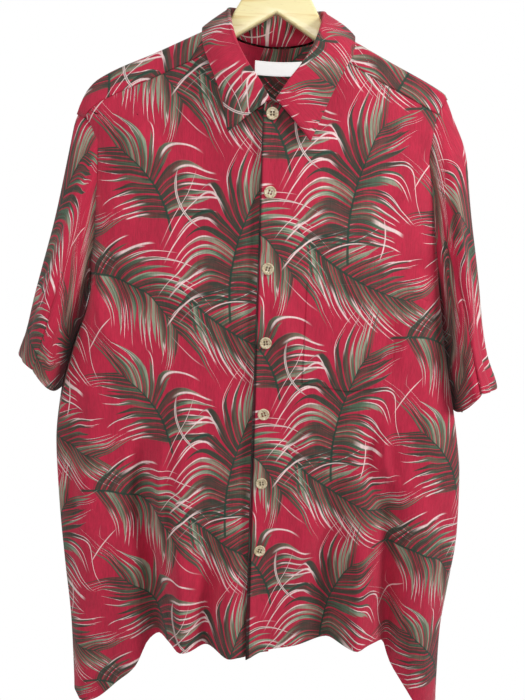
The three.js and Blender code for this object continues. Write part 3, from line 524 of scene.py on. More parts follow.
def sleeve_grid(side):
    angle = np.linspace(0, 2 * math.pi, 96, endpoint=False)
    length = np.concatenate([np.linspace(0, 0.935, 46), [0.945, 0.952, 0.962, 0.975, 0.99, 0.997, 1.0]])
    start, end = armhole_points(side, angle), sleeve_hem_points(side, angle)
    t = length[:, None]
    grid = start[None] + (end - start)[None] * t[..., None]
    top = grid[:, 0]
    share = np.maximum(0, np.cos(angle))[None, :] * np.sin(math.pi * np.minimum(t, 1)) ** 0.5
    grid[..., 0] += (side.outer_x(length) - top[:, 0])[:, None] * share
    grid[..., 2] += (side.outer_z(length) - top[:, 2])[:, None] * share
    grid[..., 1] += np.sign(-np.sin(angle)) * 14 * np.sin(math.pi * t) * np.abs(np.sin(angle))
    rise = np.zeros(grid.shape[:2])
    turned = angle if side is RIGHT else angle + 0.12
    for t0, t1, a0, a1, height, width in SLEEVE_FOLDS:
        along = (t - t0) / (t1 - t0)
        middle = mix(a0, a1, along)
        off = np.angle(np.exp(1j * (turned[None, :] - middle)))
        open_end = 2.0 if t1 >= 1 else 1.2
        ends = smoothstep(-0.15, 0.35, along) * smoothstep(open_end, open_end - 0.55, along)
        rise += height * ends * np.exp(-((off / width) ** 2))
    rise += 1.2 * np.sin(3 * angle + 5 * t) * t
    rise *= smoothstep(0, 0.25, t) * (0.55 if side is LEFT else 0.8)
    tucked = smoothstep(0.03, 0, t)
    grid[..., 0] -= 3.2 * tucked
    grid[..., 2] += 2.6 * tucked * np.maximum(0, np.cos(angle))[None, :]
    grid[..., 0] *= side.sign
    normals = normals_of(grid, True, side is RIGHT)
    return grid + normals * rise[..., None]


# Collar: seam point, crease and leaf edge, from the gorge to the middle of the back.
COLLAR_SEAM = [
    (7, None, "front"), (21, None, "front"), (37, None, "front"), (51, None, "front"), (59, None, "front"),
    (64.4, 4, "front"), (66, 0, "back"), (60, 9, "back"), (44, None, "back"), (22, None, "back"), (0, None, "back"),
]
COLLAR_CREASE = [
    (4, -57.5, -246), (18, -54, -224), (33, -47, -203), (47, -38, -178), (55, -24, -155),
    (58, -10, -141), (59, 0, -134), (55, 16, -129), (41, 30, -127), (20, 38, -126), (0, 40, -126),
]
LEAF_LEFT = [
    (53, -55, -284), (59, -52, -252), (69, -47, -224), (79, -37, -201), (87, -24, -181), (90, -11, -162),
    (90, 2, -155), (83, 26, -163), (57, 43, -177), (28, 52, -186), (0, 54, -188),
]
LEAF_RIGHT = [
    (47, -57, -291), (60, -53, -260), (73, -47, -229), (86, -37, -202), (95, -26, -183), (97, -12, -166),
    (97, 2, -158), (86, 26, -165), (58, 43, -177), (28, 52, -186), (0, 54, -188),
]
SEAM_ABOVE = 2.1
SEAM_INSIDE = 2.1
NECK_MIDDLE_Y = -8


def collar_seam(sign):
    points = []
    side = LEFT if sign < 0 else RIGHT
    for x, drop, face in COLLAR_SEAM:
        if face == "front" and drop is None:
            z = float(NECK_AT(x))
        else:
            z = float(side.ridge(x)) - (float(BACK_NECK_AT(x)) if drop is None else drop)
        point = on_face(face, sign * x, z, 0.0, False)
        inward = np.array([-point[0], NECK_MIDDLE_Y - point[1], 0])
        point = point + inward / np.linalg.norm(inward) * SEAM_INSIDE
        point[2] = z + SEAM_ABOVE
        points.append(point)
    return points


def through(points, count):
    """Centripetal curve through points, at evenly spaced parameters."""
    points = np.array(points, float)
    ends = np.vstack([2 * points[0] - points[1], points, 2 * points[-1] - points[-2]])
    at = np.linspace(0, len(points) - 1, count)
    out = []
    for value in at:
        i = min(int(value), len(points) - 2)
        p = ends[i:i + 4]
        knots = [0.0]
        for a, b in zip(p, p[1:]):
            knots.append(knots[-1] + max(1e-4, np.linalg.norm(b - a) ** 0.5))
        t = mix(knots[1], knots[2], value - i)
        rows = list(p)
        for level in (1, 2):
            rows = [
                mix(rows[k], rows[k + 1], (t - knots[k]) / (knots[k + level] - knots[k])) for k in range(4 - level)
            ]
        out.append(mix(*rows, value - i))
    return np.array(out)


def collar_grid():
    left, right = (
        (collar_seam(sign), *([np.array((sign * x, y, z)) for x, y, z in line] for line in (COLLAR_CREASE, leaf)))
        for sign, leaf in ((-1, LEAF_LEFT), (1, LEAF_RIGHT))
    )
    count = 141
    seam, crease, leaf = (through(a + b[-2::-1], count) for a, b in zip(left, right))
    around = np.gradient(crease, axis=0)
    around[:, 2] = 0
    around /= np.linalg.norm(around, axis=1, keepdims=True)
    out = leaf - seam
    out[:, 2] = 0
    out -= (out * around).sum(axis=1, keepdims=True) * around
    out /= np.linalg.norm(out, axis=1, keepdims=True)
    turn = 2.0
    up = np.array((0.0, 0.0, 1.0))
    rows = [mix(seam, crease - out * turn, share) for share in np.linspace(0, 1, 8)]
    for angle in np.linspace(0, math.pi, 9)[1:-1]:
        rows.append(crease - out * turn * math.cos(angle) + up * turn * math.sin(angle))
    k = np.linspace(0, 1, count)[:, None]
    tip = np.minimum(1, np.minimum(k, 1 - k) / 0.16)
    for share in [*np.linspace(0, 0.93, 17), 0.95, 0.975, 0.992, 1.0]:
        point = mix(crease + out * turn, leaf, share)
        bulge = 2.2 + 2.2 * np.sin(9 * k + 1) * tip
        curl = 1.6 * share**3 * (1 - tip)
        rows.append(point + out * (bulge * math.sin(math.pi * share) - curl))
    return np.array(rows)


POCKET = {"left": 52, "right": 164, "top": -459, "height": 134, "point": 9}


def pocket_grid():
    left, right = POCKET["left"], POCKET["right"]
    x = np.concatenate([[left, left + 0.6], np.linspace(left + 3, right - 3, 28), [right - 0.6, right]])
    down = np.concatenate([[0, 0.004], np.linspace(0.02, 0.975, 34), [0.995, 1.0]])
    share = (x - left) / (right - left)
    middle = 1 - np.abs(share * 2 - 1)
    z = POCKET["top"] - (POCKET["height"] + POCKET["point"] * (middle[None, :] - 1)) * down[:, None]
    gape = 1.5 * np.exp(-down[:, None] / 0.06) * np.sin(math.pi * share[None, :])
    wave = 0.5 * np.sin(x[None, :] / 13 + down[:, None] * 4)
    return on_face("front", np.broadcast_to(x, z.shape), z, 1.25 + gape + wave * 0.6)


def label_grid(middle, width, top, height, rows, columns):
    x = middle + width * (np.linspace(0, 1, columns) - 0.5)
    down = np.linspace(0, 1, rows)
    z = top - height * down[:, None] + 0.0 * x[None, :]
    wave = np.sin(2 * math.pi * (x[None, :] - middle) / width + 1) ** 2
    lift = -0.95 - 0.5 * np.sin(math.pi * down[:, None]) * wave
    return on_face("back", np.broadcast_to(x, z.shape), z, lift)


# Where the print's middle lies across, and how much its cloth is gathered from one height to another.
PRINT_MIDDLE = 25
PRINT_GATHER = 0.07
GATHER_HEIGHTS = (-400, -700)


# Meshes

def walked(grid):
    """Way walked down each column of a grid."""
    steps = np.linalg.norm(np.diff(grid, axis=0), axis=-1)
    return np.concatenate([np.zeros((1, grid.shape[1])), np.cumsum(steps, axis=0)])


def normals_of(grid, tube=False, flip=False):
    if tube:
        across = np.roll(grid, -1, axis=1) - np.roll(grid, 1, axis=1)
    else:
        padded = np.concatenate([grid[:, :1], grid, grid[:, -1:]], axis=1)
        across = padded[:, 2:] - padded[:, :-2]
    padded = np.concatenate([grid[:1], grid, grid[-1:]], axis=0)
    along = padded[2:] - padded[:-2]
    normal = np.cross(across, along)
    normal /= np.maximum(1e-9, np.linalg.norm(normal, axis=-1, keepdims=True))
    return -normal if flip else normal


def flat_uv(face, grid):
    """Flat cloth coordinates in metres: way round the body at one height, without its folds, and height."""
    x, z = grid[..., 0], grid[..., 2]
    round_it = np.sin(np.linspace(0, math.pi / 2, 29))
    across = x[..., None] * round_it
    depth = np.where(
        x[..., None] < 0,
        smooth_depth(LEFT, face, across, z[..., None]),
        smooth_depth(RIGHT, face, across, z[..., None]),
    )
    steps = np.hypot(np.diff(across, axis=-1), np.diff(depth, axis=-1))
    u = np.sign(x) * steps.sum(axis=-1)
    gathered = 1 + PRINT_GATHER * smoothstep(*GATHER_HEIGHTS, z)
    return np.stack([PRINT_MIDDLE + (u - PRINT_MIDDLE) * gathered, z], axis=-1) * MM


def shell(name, grid, uv, thickness, material, tube=False, flip=False, band=None):
    """Closes a grid into a cloth shell with its own flat coordinates."""
    rows, columns = grid.shape[:2]
    normal = normals_of(grid, tube, flip)
    half = np.full((rows, columns, 1), thickness / 2)
    if band is not None:
        half = half * band[..., None]
    points = np.concatenate([(grid + normal * half).reshape(-1, 3), (grid - normal * half).reshape(-1, 3)])
    i, j = np.meshgrid(np.arange(rows - 1), np.arange(columns if tube else columns - 1), indexing="ij")
    i, j = i.ravel(), j.ravel()
    inner = rows * columns

    def corner(a, b, layer):
        return layer * inner + a * columns + b % columns, a, b

    def quads(*corners):
        index = np.stack([c[0] for c in corners], axis=1)
        u = np.stack([uv[c[1], c[2]] for c in corners], axis=1)
        return index, u

    faces = [
        quads(corner(i, j, 0), corner(i, j + 1, 0), corner(i + 1, j + 1, 0), corner(i + 1, j, 0)),
        quads(corner(i, j, 1), corner(i + 1, j, 1), corner(i + 1, j + 1, 1), corner(i, j + 1, 1)),
    ]
    smooth = sum(len(f[0]) for f in faces)
    jj = np.arange(columns if tube else columns - 1)
    first, last = np.zeros_like(jj), np.full_like(jj, rows - 1)
    faces.append(quads(corner(first, jj, 1), corner(first, jj + 1, 1), corner(first, jj + 1, 0), corner(first, jj, 0)))
    faces.append(quads(corner(last, jj, 0), corner(last, jj + 1, 0), corner(last, jj + 1, 1), corner(last, jj, 1)))
    if not tube:
        ii = np.arange(rows - 1)
        low, high = np.zeros_like(ii), np.full_like(ii, columns - 1)
        faces.append(quads(corner(ii, low, 0), corner(ii + 1, low, 0), corner(ii + 1, low, 1), corner(ii, low, 1)))
        faces.append(quads(corner(ii, high, 1), corner(ii + 1, high, 1), corner(ii + 1, high, 0), corner(ii, high, 0)))
    index = np.concatenate([f[0] for f in faces])
    corner_uv = np.concatenate([f[1] for f in faces])
    if flip:
        index, corner_uv = index[:, ::-1], corner_uv[:, ::-1]
    mesh = bpy.data.meshes.new(name)
    mesh.from_pydata((points * MM).tolist(), [], index.tolist())
    flags = np.zeros(len(index), bool)
    flags[:smooth] = True
    mesh.polygons.foreach_set("use_smooth", flags)
    layer = mesh.uv_layers.new(name="Cloth")
    layer.uv.foreach_set("vector", np.ascontiguousarray(corner_uv, dtype=np.float32).ravel())
    mesh.materials.append(material)
    mesh.validate()
    mesh.update()
    return add_object(name, mesh)


def add_object(name, mesh):
    piece = bpy.data.objects.new(name, mesh)
    bpy.context.scene.collection.objects.link(piece)
    return piece


def inset_line(grid, normals, edge, distance, out, ends=(0.0, 1.0)):
    """Line on a sheet at a distance from one of its edges, lifted off its face."""
    if edge in ("left", "right"):
        grid, normals = grid.swapaxes(0, 1), normals.swapaxes(0, 1)
    if edge in ("bottom", "right"):
        grid, normals = grid[::-1], normals[::-1]
    way = walked(grid)
    line = []
    low, high = int(ends[0] * (grid.shape[1] - 1)), int(ends[1] * (grid.shape[1] - 1))
    for k in range(low, high + 1):
        lifted = grid[:, k] + normals[:, k] * out
        line.append([np.interp(distance, way[:, k], lifted[:, axis]) for axis in range(3)])
    return np.array(line)


SURFACES = {}


def keep_surface(name, grid, tube=False, flip=False):
    SURFACES[name] = (grid, normals_of(grid, tube, flip))


def dress(piece, node):
    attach(piece, "root")
    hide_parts(node)


# Materials

def srgb(red, green, blue):
    """Colour from its eight-bit display values."""
    shares = (value / 255 for value in (red, green, blue))
    return (*(s / 12.92 if s <= 0.04045 else ((s + 0.055) / 1.055) ** 2.4 for s in shares), 1.0)


class Value:
    """A node's output that can stand in a sum."""

    def __init__(self, wires, socket):
        self.wires, self.socket = wires, socket

    def __add__(self, other):
        return self.wires.math("ADD", self, other)

    def __sub__(self, other):
        return self.wires.math("SUBTRACT", self, other)

    def __rsub__(self, other):
        return self.wires.math("SUBTRACT", other, self)

    def __mul__(self, other):
        return self.wires.math("MULTIPLY", self, other)

    def __truediv__(self, other):
        return self.wires.math("DIVIDE", self, other)

    def __rtruediv__(self, other):
        return self.wires.math("DIVIDE", other, self)

    def __pow__(self, other):
        return self.wires.math("POWER", self, other)

    def __abs__(self):
        return self.wires.math("ABSOLUTE", self)

    __radd__, __rmul__ = __add__, __mul__


class Wires:
    """Short way to lay nodes in a tree."""

    def __init__(self, tree):
        self.tree = tree
        self.count = 0

    def node(self, kind, inputs=(), **settings):
        node = self.tree.nodes.new(kind)
        node.location = (180 * (self.count % 12), -220 * (self.count // 12))
        self.count += 1
        for key, value in settings.items():
            setattr(node, key, value)
        self.fill(node, inputs)
        return node

    def fill(self, node, inputs):
        """Links or sets a node's inputs, by name or number."""
        for key, value in dict(inputs).items():
            if isinstance(value, Value):
                self.tree.links.new(value.socket, node.inputs[key])
            else:
                node.inputs[key].default_value = value

    def out(self, node, key=0):
        return Value(self, node.outputs[key])

    def new(self, kind, inputs=(), key=0, **settings):
        """One output of a new node."""
        return self.out(self.node(kind, inputs, **settings), key)

    def math(self, operation, *values, clamp=False):
        return self.new("ShaderNodeMath", enumerate(values), operation=operation, use_clamp=clamp)

    def step(self, value, low, high, to_low=0.0, to_high=1.0, smooth=True):
        kind = "SMOOTHSTEP" if smooth else "LINEAR"
        return self.new("ShaderNodeMapRange", enumerate((value, low, high, to_low, to_high)), interpolation_type=kind)

    def xyz(self, x, y, z=0.0):
        return self.new("ShaderNodeCombineXYZ", enumerate((x, y, z)))

    def split(self, vector):
        """The x and y of a vector."""
        node = self.node("ShaderNodeSeparateXYZ", {0: vector})
        return self.out(node, 0), self.out(node, 1)

    def noise(self, vector, scale=1.0, detail=1.0, roughness=0.5, distortion=0.0):
        inputs = {"Vector": vector, "Scale": scale, "Detail": detail, "Roughness": roughness, "Distortion": distortion}
        return self.new("ShaderNodeTexNoise", inputs, "Fac")

    def blend(self, amount, a, b, mode="MIX"):
        return self.new("ShaderNodeMix", {0: amount, 6: a, 7: b}, 2, data_type="RGBA", blend_type=mode)

    def ramp(self, value, *stops):
        node = self.node("ShaderNodeValToRGB", {0: value})
        elements = node.color_ramp.elements
        while len(elements) < len(stops):
            elements.new(0.5)
        for element, (at, colour) in zip(elements, stops):
            element.position = at
            element.color = colour
        return self.out(node)

    def bump(self, height, strength, distance):
        return self.new("ShaderNodeBump", {"Height": height, "Strength": strength, "Distance": distance}, "Normal")


def new_group(name, inputs, outputs):
    """Shader node group, its wires, its inputs by name and its output node."""
    tree = bpy.data.node_groups.new(name, "ShaderNodeTree")
    for label, default in inputs.items():
        kind = "Vector" if default is None else "Color" if isinstance(default, tuple) else "Float"
        socket = tree.interface.new_socket(label, in_out="INPUT", socket_type="NodeSocket" + kind)
        if default is not None:
            socket.default_value = default
    for label in outputs:
        kind = "Color" if label == "Color" else "Float"
        tree.interface.new_socket(label, in_out="OUTPUT", socket_type="NodeSocket" + kind)
    wires = Wires(tree)
    given = wires.node("NodeGroupInput")
    return tree, wires, {label: wires.out(given, label) for label in inputs}, wires.node("NodeGroupOutput")


def unrolled(w, x, y, radius, way):
    """Place beside and along an arc that leaves the origin up the y axis."""
    from_centre = x * way + radius
    reached = w.math("SQRT", y * y + from_centre * from_centre)
    return (reached - radius) * way, w.math("ARCTAN2", y, from_centre) * radius


# How steeply the leaflets at a frond's tip rise.
TIP_RISE = 1.9


def frond_group():
    """One painted frond: a stem up its own y axis with streaked leaflets that arch off both sides."""
    tree, w, given, result = new_group(
        "Painted Frond",
        {"Vector": None, "Length": 130.0, "Reach": 62.0, "Rise": 1.0, "Skew": 0.0, "Droop": 0.006, "Bend": 0.001,
         "Spacing": 9.5, "Seed": 0.0},
        ("Paint", "Tone", "Light", "Stem"),
    )
    length, seed = given["Length"], given["Seed"]
    x, y = w.split(given["Vector"])
    y = (w.noise(w.xyz(x * 0.016, y * 0.016, seed)) - 0.5) * 20.0 + y
    x, y = unrolled(w, x, y, 1.0 / abs(given["Bend"]), w.math("SIGN", given["Bend"]))
    side, away, up = w.math("SIGN", x), abs(x), y / length

    # How steeply the leaflets rise, and where on the stem each one starts.
    high = w.math("DIVIDE", away * -0.5 + y, length, clamp=True)
    low_rise = given["Skew"] * side + given["Rise"]
    steeper = TIP_RISE - low_rise
    rise = steeper * high ** 2.0 + low_rise
    foot = y - rise * away + given["Droop"] * (high * -0.8 + 1.0) * (away * away)
    share = foot / length

    # How far out a leaflet has run: n is 1 near its tip.
    hump = w.math("SINE", w.math("MULTIPLY", share, 1.0, clamp=True) * 1.55 + 0.85)
    long = given["Reach"] * w.math("MAXIMUM", hump, 0.05) ** 0.6
    out = away * w.math("SQRT", rise * rise * 0.7 + 1.0) / long
    lane = side * 9.3 + seed
    count = w.noise(w.xyz(foot * 0.07, lane), detail=0.0) * 1.6 + foot / given["Spacing"]
    within = w.math("FRACT", count)
    dice = w.new(
        "ShaderNodeTexWhiteNoise", {"Vector": w.xyz(w.math("FLOOR", count), lane)}, "Color", noise_dimensions="2D")
    chance = w.node("ShaderNodeSeparateColor", {0: dice})
    first, second, third = (w.out(chance, channel) for channel in range(3))
    n = out / (first * 0.42 + 0.62)

    # Width of the leaflet, narrower where the leaflets spread apart.
    streak = w.noise(w.xyz(foot * 0.75, lane, out * 1.3), detail=1.2)
    wide = n * n * -1.28 + 0.98 + n * 0.42 + (streak - 0.5) * 0.55
    spread = w.math("MAXIMUM", steeper * (high * away / length) * -2.0 + 1.0, 0.22)
    wide = wide * ((1.0 - spread) * w.math("MINIMUM", n, 1.0) * -0.85 + 1.0)
    inside = w.math("MINIMUM", wide, 0.86) - abs(within - 0.5) * 2.0

    # Paint thins out in streaks, and its tone runs from a dark heart to pale tips.
    gap = w.math("MAXIMUM", w.step(streak, 0.28, 0.40, 0.25, 1.0), w.step(out, 0.0, 0.16, 1.0, 0.0))
    thin = w.step(w.noise(w.xyz(foot * 0.30, lane, out * 2.2), detail=0.0), 0.28, 0.55, 0.82, 1.0)
    ends = w.step(share, -0.01, 0.02) * w.step(share, 1.0, 0.98)
    group = w.noise(w.xyz(foot * 0.04, lane, out * 0.8), detail=0.0)
    tone = (group - 0.5) * 1.3 + streak + (second - 0.5) * 0.42 + (within - 0.5) * -0.38 + (n - 0.55) * 0.40

    # Pale spikes at some tips, and pale rims along some edges.
    spike = w.step(abs(within - (second * 0.5 + 0.25)) / spread, 0.14, 0.05)
    spike = spike * w.step(n, 0.44, 0.70) * w.step(n, 1.24, 1.10) * w.step(third, 0.24, 0.28)
    rim = w.step(abs(inside - 0.05) / spread, 0.16, 0.03) * w.step(n, 0.40, 0.68)
    rim = rim * w.step(first, 0.42, 0.48) * w.step((within - 0.5) * side, -0.02, 0.02)
    lit = w.step(share, -0.01, 0.02) * w.step(share, 0.94, 0.88)
    stem = w.step(away - (up * -1.0 + 1.5), 0.5, -0.4) * w.step(up, -0.14, -0.1) * w.step(up, 1.0, 0.9)
    w.fill(result, {
        "Paint": w.step(inside, -0.03, 0.10) * gap * thin * ends,
        "Tone": tone,
        "Light": w.math("MAXIMUM", spike, rim) * lit,
        "Stem": stem,
    })
    return tree


# The print's repeat: one step across and one step up, in millimetres of flat cloth.
REPEAT_ACROSS = (268.0, 142.0)
REPEAT_UP = 279.0
# The left front is cut from cloth whose print lies this far over from the right front's.
PANEL_SHIFT = (143.0, 76.0)
# Foot and tip in flat cloth coordinates, curvature (left is positive), then the rest of FROND_SHAPE.
FROND_SHAPE = ("Bend", "Reach", "Rise", "Skew", "Droop", "Spacing", "Seed")
FRONDS = [
    ((-96, -482), (46, -553), 0.0042, 70.0, 0.72, 0.36, -0.0030, 8.5, 3.7),
    ((-230, -461), (-107, -532), -0.0078, 74.0, 0.50, 0.14, -0.0055, 8.5, 47.1),
    ((-121, -392), (-194, -301), 0.0070, 78.0, 0.42, -0.22, 0.0050, 8.5, 11.2),
    ((-44, -490), (-3, -337), -0.0037, 80.0, 0.24, 0.02, 0.0076, 8.5, 23.9),
]
# Pale curved strokes: both ends, curvature and thickness.
STROKES = [
    ((-112, -326), (-82, -398), 0.0165, 2.6),
    ((-76, -502), (-18, -486), -0.0140, 1.3),
    ((-232, -560), (-196, -512), -0.0060, 1.3),
    ((0, -453), (-4, -506), -0.0120, 1.5),
]
# Strokes thicker than this have a green core.
CORED = 2


def motif_place(w, u, v, foot, tip, bend):
    """Place in the repeat's cell, from an arc's foot and with y along its start, and the arc's length."""
    p, q = u - (foot[0] + tip[0]) / 2, v - (foot[1] + tip[1]) / 2
    column = w.math("FLOOR", p / REPEAT_ACROSS[0] + 0.5)
    p, q = p - column * REPEAT_ACROSS[0], q - column * REPEAT_ACROSS[1]
    q = q - w.math("FLOOR", q / REPEAT_UP + 0.5) * REPEAT_UP
    across, up = tip[0] - foot[0], tip[1] - foot[1]
    chord = math.hypot(across, up)
    half_turn = math.asin(chord * bend / 2)
    cos, sin = math.cos(half_turn) / chord, -math.sin(half_turn) / chord
    ahead = (across * cos - up * sin, across * sin + up * cos)
    x = p * ahead[1] - q * ahead[0] + (across * ahead[1] - up * ahead[0]) / 2
    y = p * ahead[0] + q * ahead[1] + (across * ahead[0] + up * ahead[1]) / 2
    return x, y, 2 * half_turn / bend


def print_group(frond):
    """Palm-frond print over flat cloth coordinates in metres."""
    tree, w, given, result = new_group(
        "Palm Print",
        {"Vector": None, "Ground": srgb(190, 40, 62), "Dark": srgb(46, 56, 48), "Green": srgb(88, 104, 76),
         "Sage": srgb(150, 164, 132), "Pale": srgb(232, 205, 200)},
        ("Color",),
    )
    u, v = w.split(given["Vector"])
    u, v = u * (1 / MM), v * (1 / MM)
    colour, dark, pale = given["Ground"], given["Dark"], given["Pale"]
    for foot, tip, *shape in FRONDS:
        x, y, length = motif_place(w, u, v, foot, tip, shape[0])
        inputs = {"Vector": w.xyz(x, y), "Length": length, **dict(zip(FROND_SHAPE, shape))}
        leaf = w.node("ShaderNodeGroup", inputs, node_tree=frond)
        tone = w.out(leaf, "Tone")
        green = w.blend(w.step(tone, 0.34, 0.62), dark, given["Green"])
        green = w.blend(w.step(tone, 0.60, 0.86), green, given["Sage"])
        for key, strength, paint in (("Paint", 0.93, green), ("Light", 0.97, pale), ("Stem", 0.9, dark)):
            colour = w.blend(w.out(leaf, key) * strength, colour, paint)
    for foot, tip, bend, thick in STROKES:
        x, y, length = motif_place(w, u, v, foot, tip, bend)
        beside, along = unrolled(w, x, y, abs(1 / bend), math.copysign(1, bend))
        off, at = abs(beside), along / length
        taper = w.step(at, -0.02, 0.25, 0.0, thick) * w.step(at, 1.02, 0.75)
        line = w.step(off - taper * 0.5, 0.35, -0.25) * w.step(at, -0.04, 0.08) * w.step(at, 1.04, 0.92)
        colour = w.blend(line * 0.9, colour, pale)
        if thick > CORED:
            core = w.step(off - taper * 0.14, 0.30, -0.10) * line
            colour = w.blend(core * 0.8, colour, given["Green"])
    w.fill(result, {"Color": colour})
    return tree


def rayon_group():
    """Crinkled plain weave over flat cloth coordinates in metres."""
    tree, w, given, result = new_group(
        "Crinkled Rayon", {"Vector": None, "Crinkle": 1.0, "Slub": 0.35}, ("Height", "Shade"))
    u, v = w.split(given["Vector"])
    crinkle = w.noise(w.xyz(u * 330.0, v * 95.0), detail=2.5, distortion=0.6)
    broad = w.noise(w.xyz(u * 70.0, v * 26.0, 5.0), detail=2.0)
    slub = w.noise(w.xyz(u * 900.0, v * 40.0, 9.0), detail=1.0)
    thread = 2 * math.pi / 0.0006
    weave = w.math("SINE", u * thread) * w.math("SINE", v * thread) * 0.05
    w.fill(result, {
        "Height": crinkle * given["Crinkle"] + broad * 1.6 + slub * given["Slub"] + weave,
        # Shade: painted shade of the crinkles and broad ripples, mixed with the slub's own tone.
        "Shade": crinkle * 0.40 + slub * 0.28 + broad * 0.32,
    })
    return tree


def base_material(name):
    material = bpy.data.materials.new(name)
    material.use_nodes = True
    return material, Wires(material.node_tree), material.node_tree.nodes["Principled BSDF"]


def edge_shade(w, uv):
    """Painted shadow line where the left front's folded edge stands off the right front."""
    u, v = w.split(uv)
    run = OPENING_TOP - OVERLAP_FOOT
    down = v * (-1 / MM / run) + OPENING_TOP / run
    edge = down * (OVERLAP_EDGE[1] - OVERLAP_EDGE[0]) + (OVERLAP_EDGE[0] - PRINT_MIDDLE)
    gathered = w.step(v, GATHER_HEIGHTS[0] * MM, GATHER_HEIGHTS[1] * MM, 1.0, 1 + PRINT_GATHER)
    return w.step(u * (1 / MM) - PRINT_MIDDLE - edge * gathered, 0.8, 2.8, 0.18, 1.0)


def printed_cloth(name, groups, colours, move=(0.0, 0.0), turn=0.0, lapped=False):
    """Printed crinkled rayon, its print moved over the cloth by metres and turned by radians."""
    material, w, shader = base_material(name)
    uv = w.new("ShaderNodeUVMap", uv_map="Cloth")
    place = w.new("ShaderNodeMapping", {"Vector": uv, "Location": (*move, 0), "Rotation": (0, 0, turn)})
    palm = w.new("ShaderNodeGroup", {
        "Vector": place, "Ground": colours.ground, "Dark": colours.leaf_dark, "Green": colours.leaf_green,
        "Sage": colours.leaf_sage, "Pale": colours.leaf_pale,
    }, node_tree=groups["print"])
    rayon = w.node("ShaderNodeGroup", {"Vector": uv}, node_tree=groups["rayon"])
    # Painted shade of the crinkles, with the slub's own tone, lightens and darkens the print; the same value sets the
    # roughness.
    crinkle_shade_and_slub = w.out(rayon, "Shade")
    shade = w.step(crinkle_shade_and_slub, 0.30, 0.70, 0.76, 1.22, smooth=False)
    # Painted shadow along the left front's overlapping edge.
    if lapped:
        shade = shade * edge_shade(w, uv)
    shade_and_slub_tint = w.new("ShaderNodeCombineColor", {0: shade, 1: shade, 2: shade})
    w.fill(shader, {
        "Base Color": w.blend(1.0, palm, shade_and_slub_tint, "MULTIPLY"),
        "Roughness": w.step(crinkle_shade_and_slub, 0.2, 0.8, 0.68, 0.86, smooth=False),
        "Sheen Weight": 0.12, "Sheen Roughness": 0.5, "Specular IOR Level": 0.3,
        "Normal": w.bump(w.out(rayon, "Height"), 0.55, 0.0011),
    })
    return material


def label_material(colours):
    material, w, shader = base_material("Label Weave")
    uv = w.new("ShaderNodeUVMap", uv_map="Cloth")
    u, v = w.split(uv)
    w.fill(shader, {
        "Base Color": w.ramp(w.noise(uv, 240.0, 2.0), (0.2, srgb(226, 224, 220)), (0.7, colours.label)),
        # Slight glow: painted light that keeps the label bright in the shade of the neck.
        "Roughness": 0.55, "Sheen Weight": 0.2, "Emission Color": (1, 1, 1, 1), "Emission Strength": 0.6,
        "Normal": w.bump(w.math("SINE", (u + v) * (2 * math.pi / 0.0007)), 0.35, 0.0002),
    })
    return material


def solid_material(name):
    """Material whose pattern follows the object's own coordinates."""
    material, w, shader = base_material(name)
    return material, w, shader, w.new("ShaderNodeTexCoord", key="Object")


def wood_material(colours):
    material, w, shader, place = solid_material("Hanger Beech")
    grain = w.noise(w.new("ShaderNodeMapping", {"Vector": place, "Scale": (9, 60, 90)}), 1.2, 4.0, 0.6, 0.9)
    fleck = w.noise(w.new("ShaderNodeMapping", {"Vector": place, "Scale": (60, 500, 700)}), 1.0, 2.0)
    tone = w.ramp(grain, (0.3, srgb(232, 200, 128)), (0.52, colours.wood), (0.75, srgb(252, 240, 184)))
    w.fill(shader, {
        "Base Color": w.blend(w.step(fleck, 0.62, 0.8, 0.0, 0.4), tone, srgb(168, 112, 52)),
        "Roughness": w.step(fleck, 0.2, 0.8, 0.32, 0.46, smooth=False),
        "Coat Weight": 0.4, "Coat Roughness": 0.2, "Normal": w.bump(grain, 0.15, 0.0003),
    })
    return material


def steel_material():
    material, w, shader, place = solid_material("Hook Steel")
    rub = w.noise(place, 900.0, 3.0)
    w.fill(shader, {
        "Base Color": w.ramp(rub, (0.3, srgb(176, 178, 182)), (0.7, srgb(212, 213, 215))),
        "Metallic": 1.0, "Roughness": w.step(rub, 0.3, 0.8, 0.16, 0.34, smooth=False),
    })
    return material


def button_material(colours):
    material, w, shader, place = solid_material("Button Horn")
    cloud = w.noise(place, 230.0, 3.0, 0.6, 1.2)
    fine = w.noise(place, 1400.0, 2.0)
    tone = w.ramp(cloud, (0.3, srgb(150, 128, 92)), (0.5, colours.button), (0.75, srgb(228, 216, 190)))
    w.fill(shader, {
        "Base Color": w.blend(w.step(fine, 0.55, 0.8, 0.0, 0.35), tone, srgb(120, 96, 62)),
        "Roughness": w.step(fine, 0.2, 0.8, 0.26, 0.42, smooth=False),
        "Coat Weight": 0.25, "Normal": w.bump(cloud, 0.12, 0.0002),
    })
    return material


def thread_material(name, colour):
    material, w, shader, place = solid_material(name)
    darker = tuple(channel * 0.6 for channel in colour[:3]) + (1.0,)
    w.fill(shader, {"Base Color": w.ramp(w.noise(place, 2600.0), (0.3, darker), (0.7, colour)), "Roughness": 0.6})
    return material


MATERIALS = {}


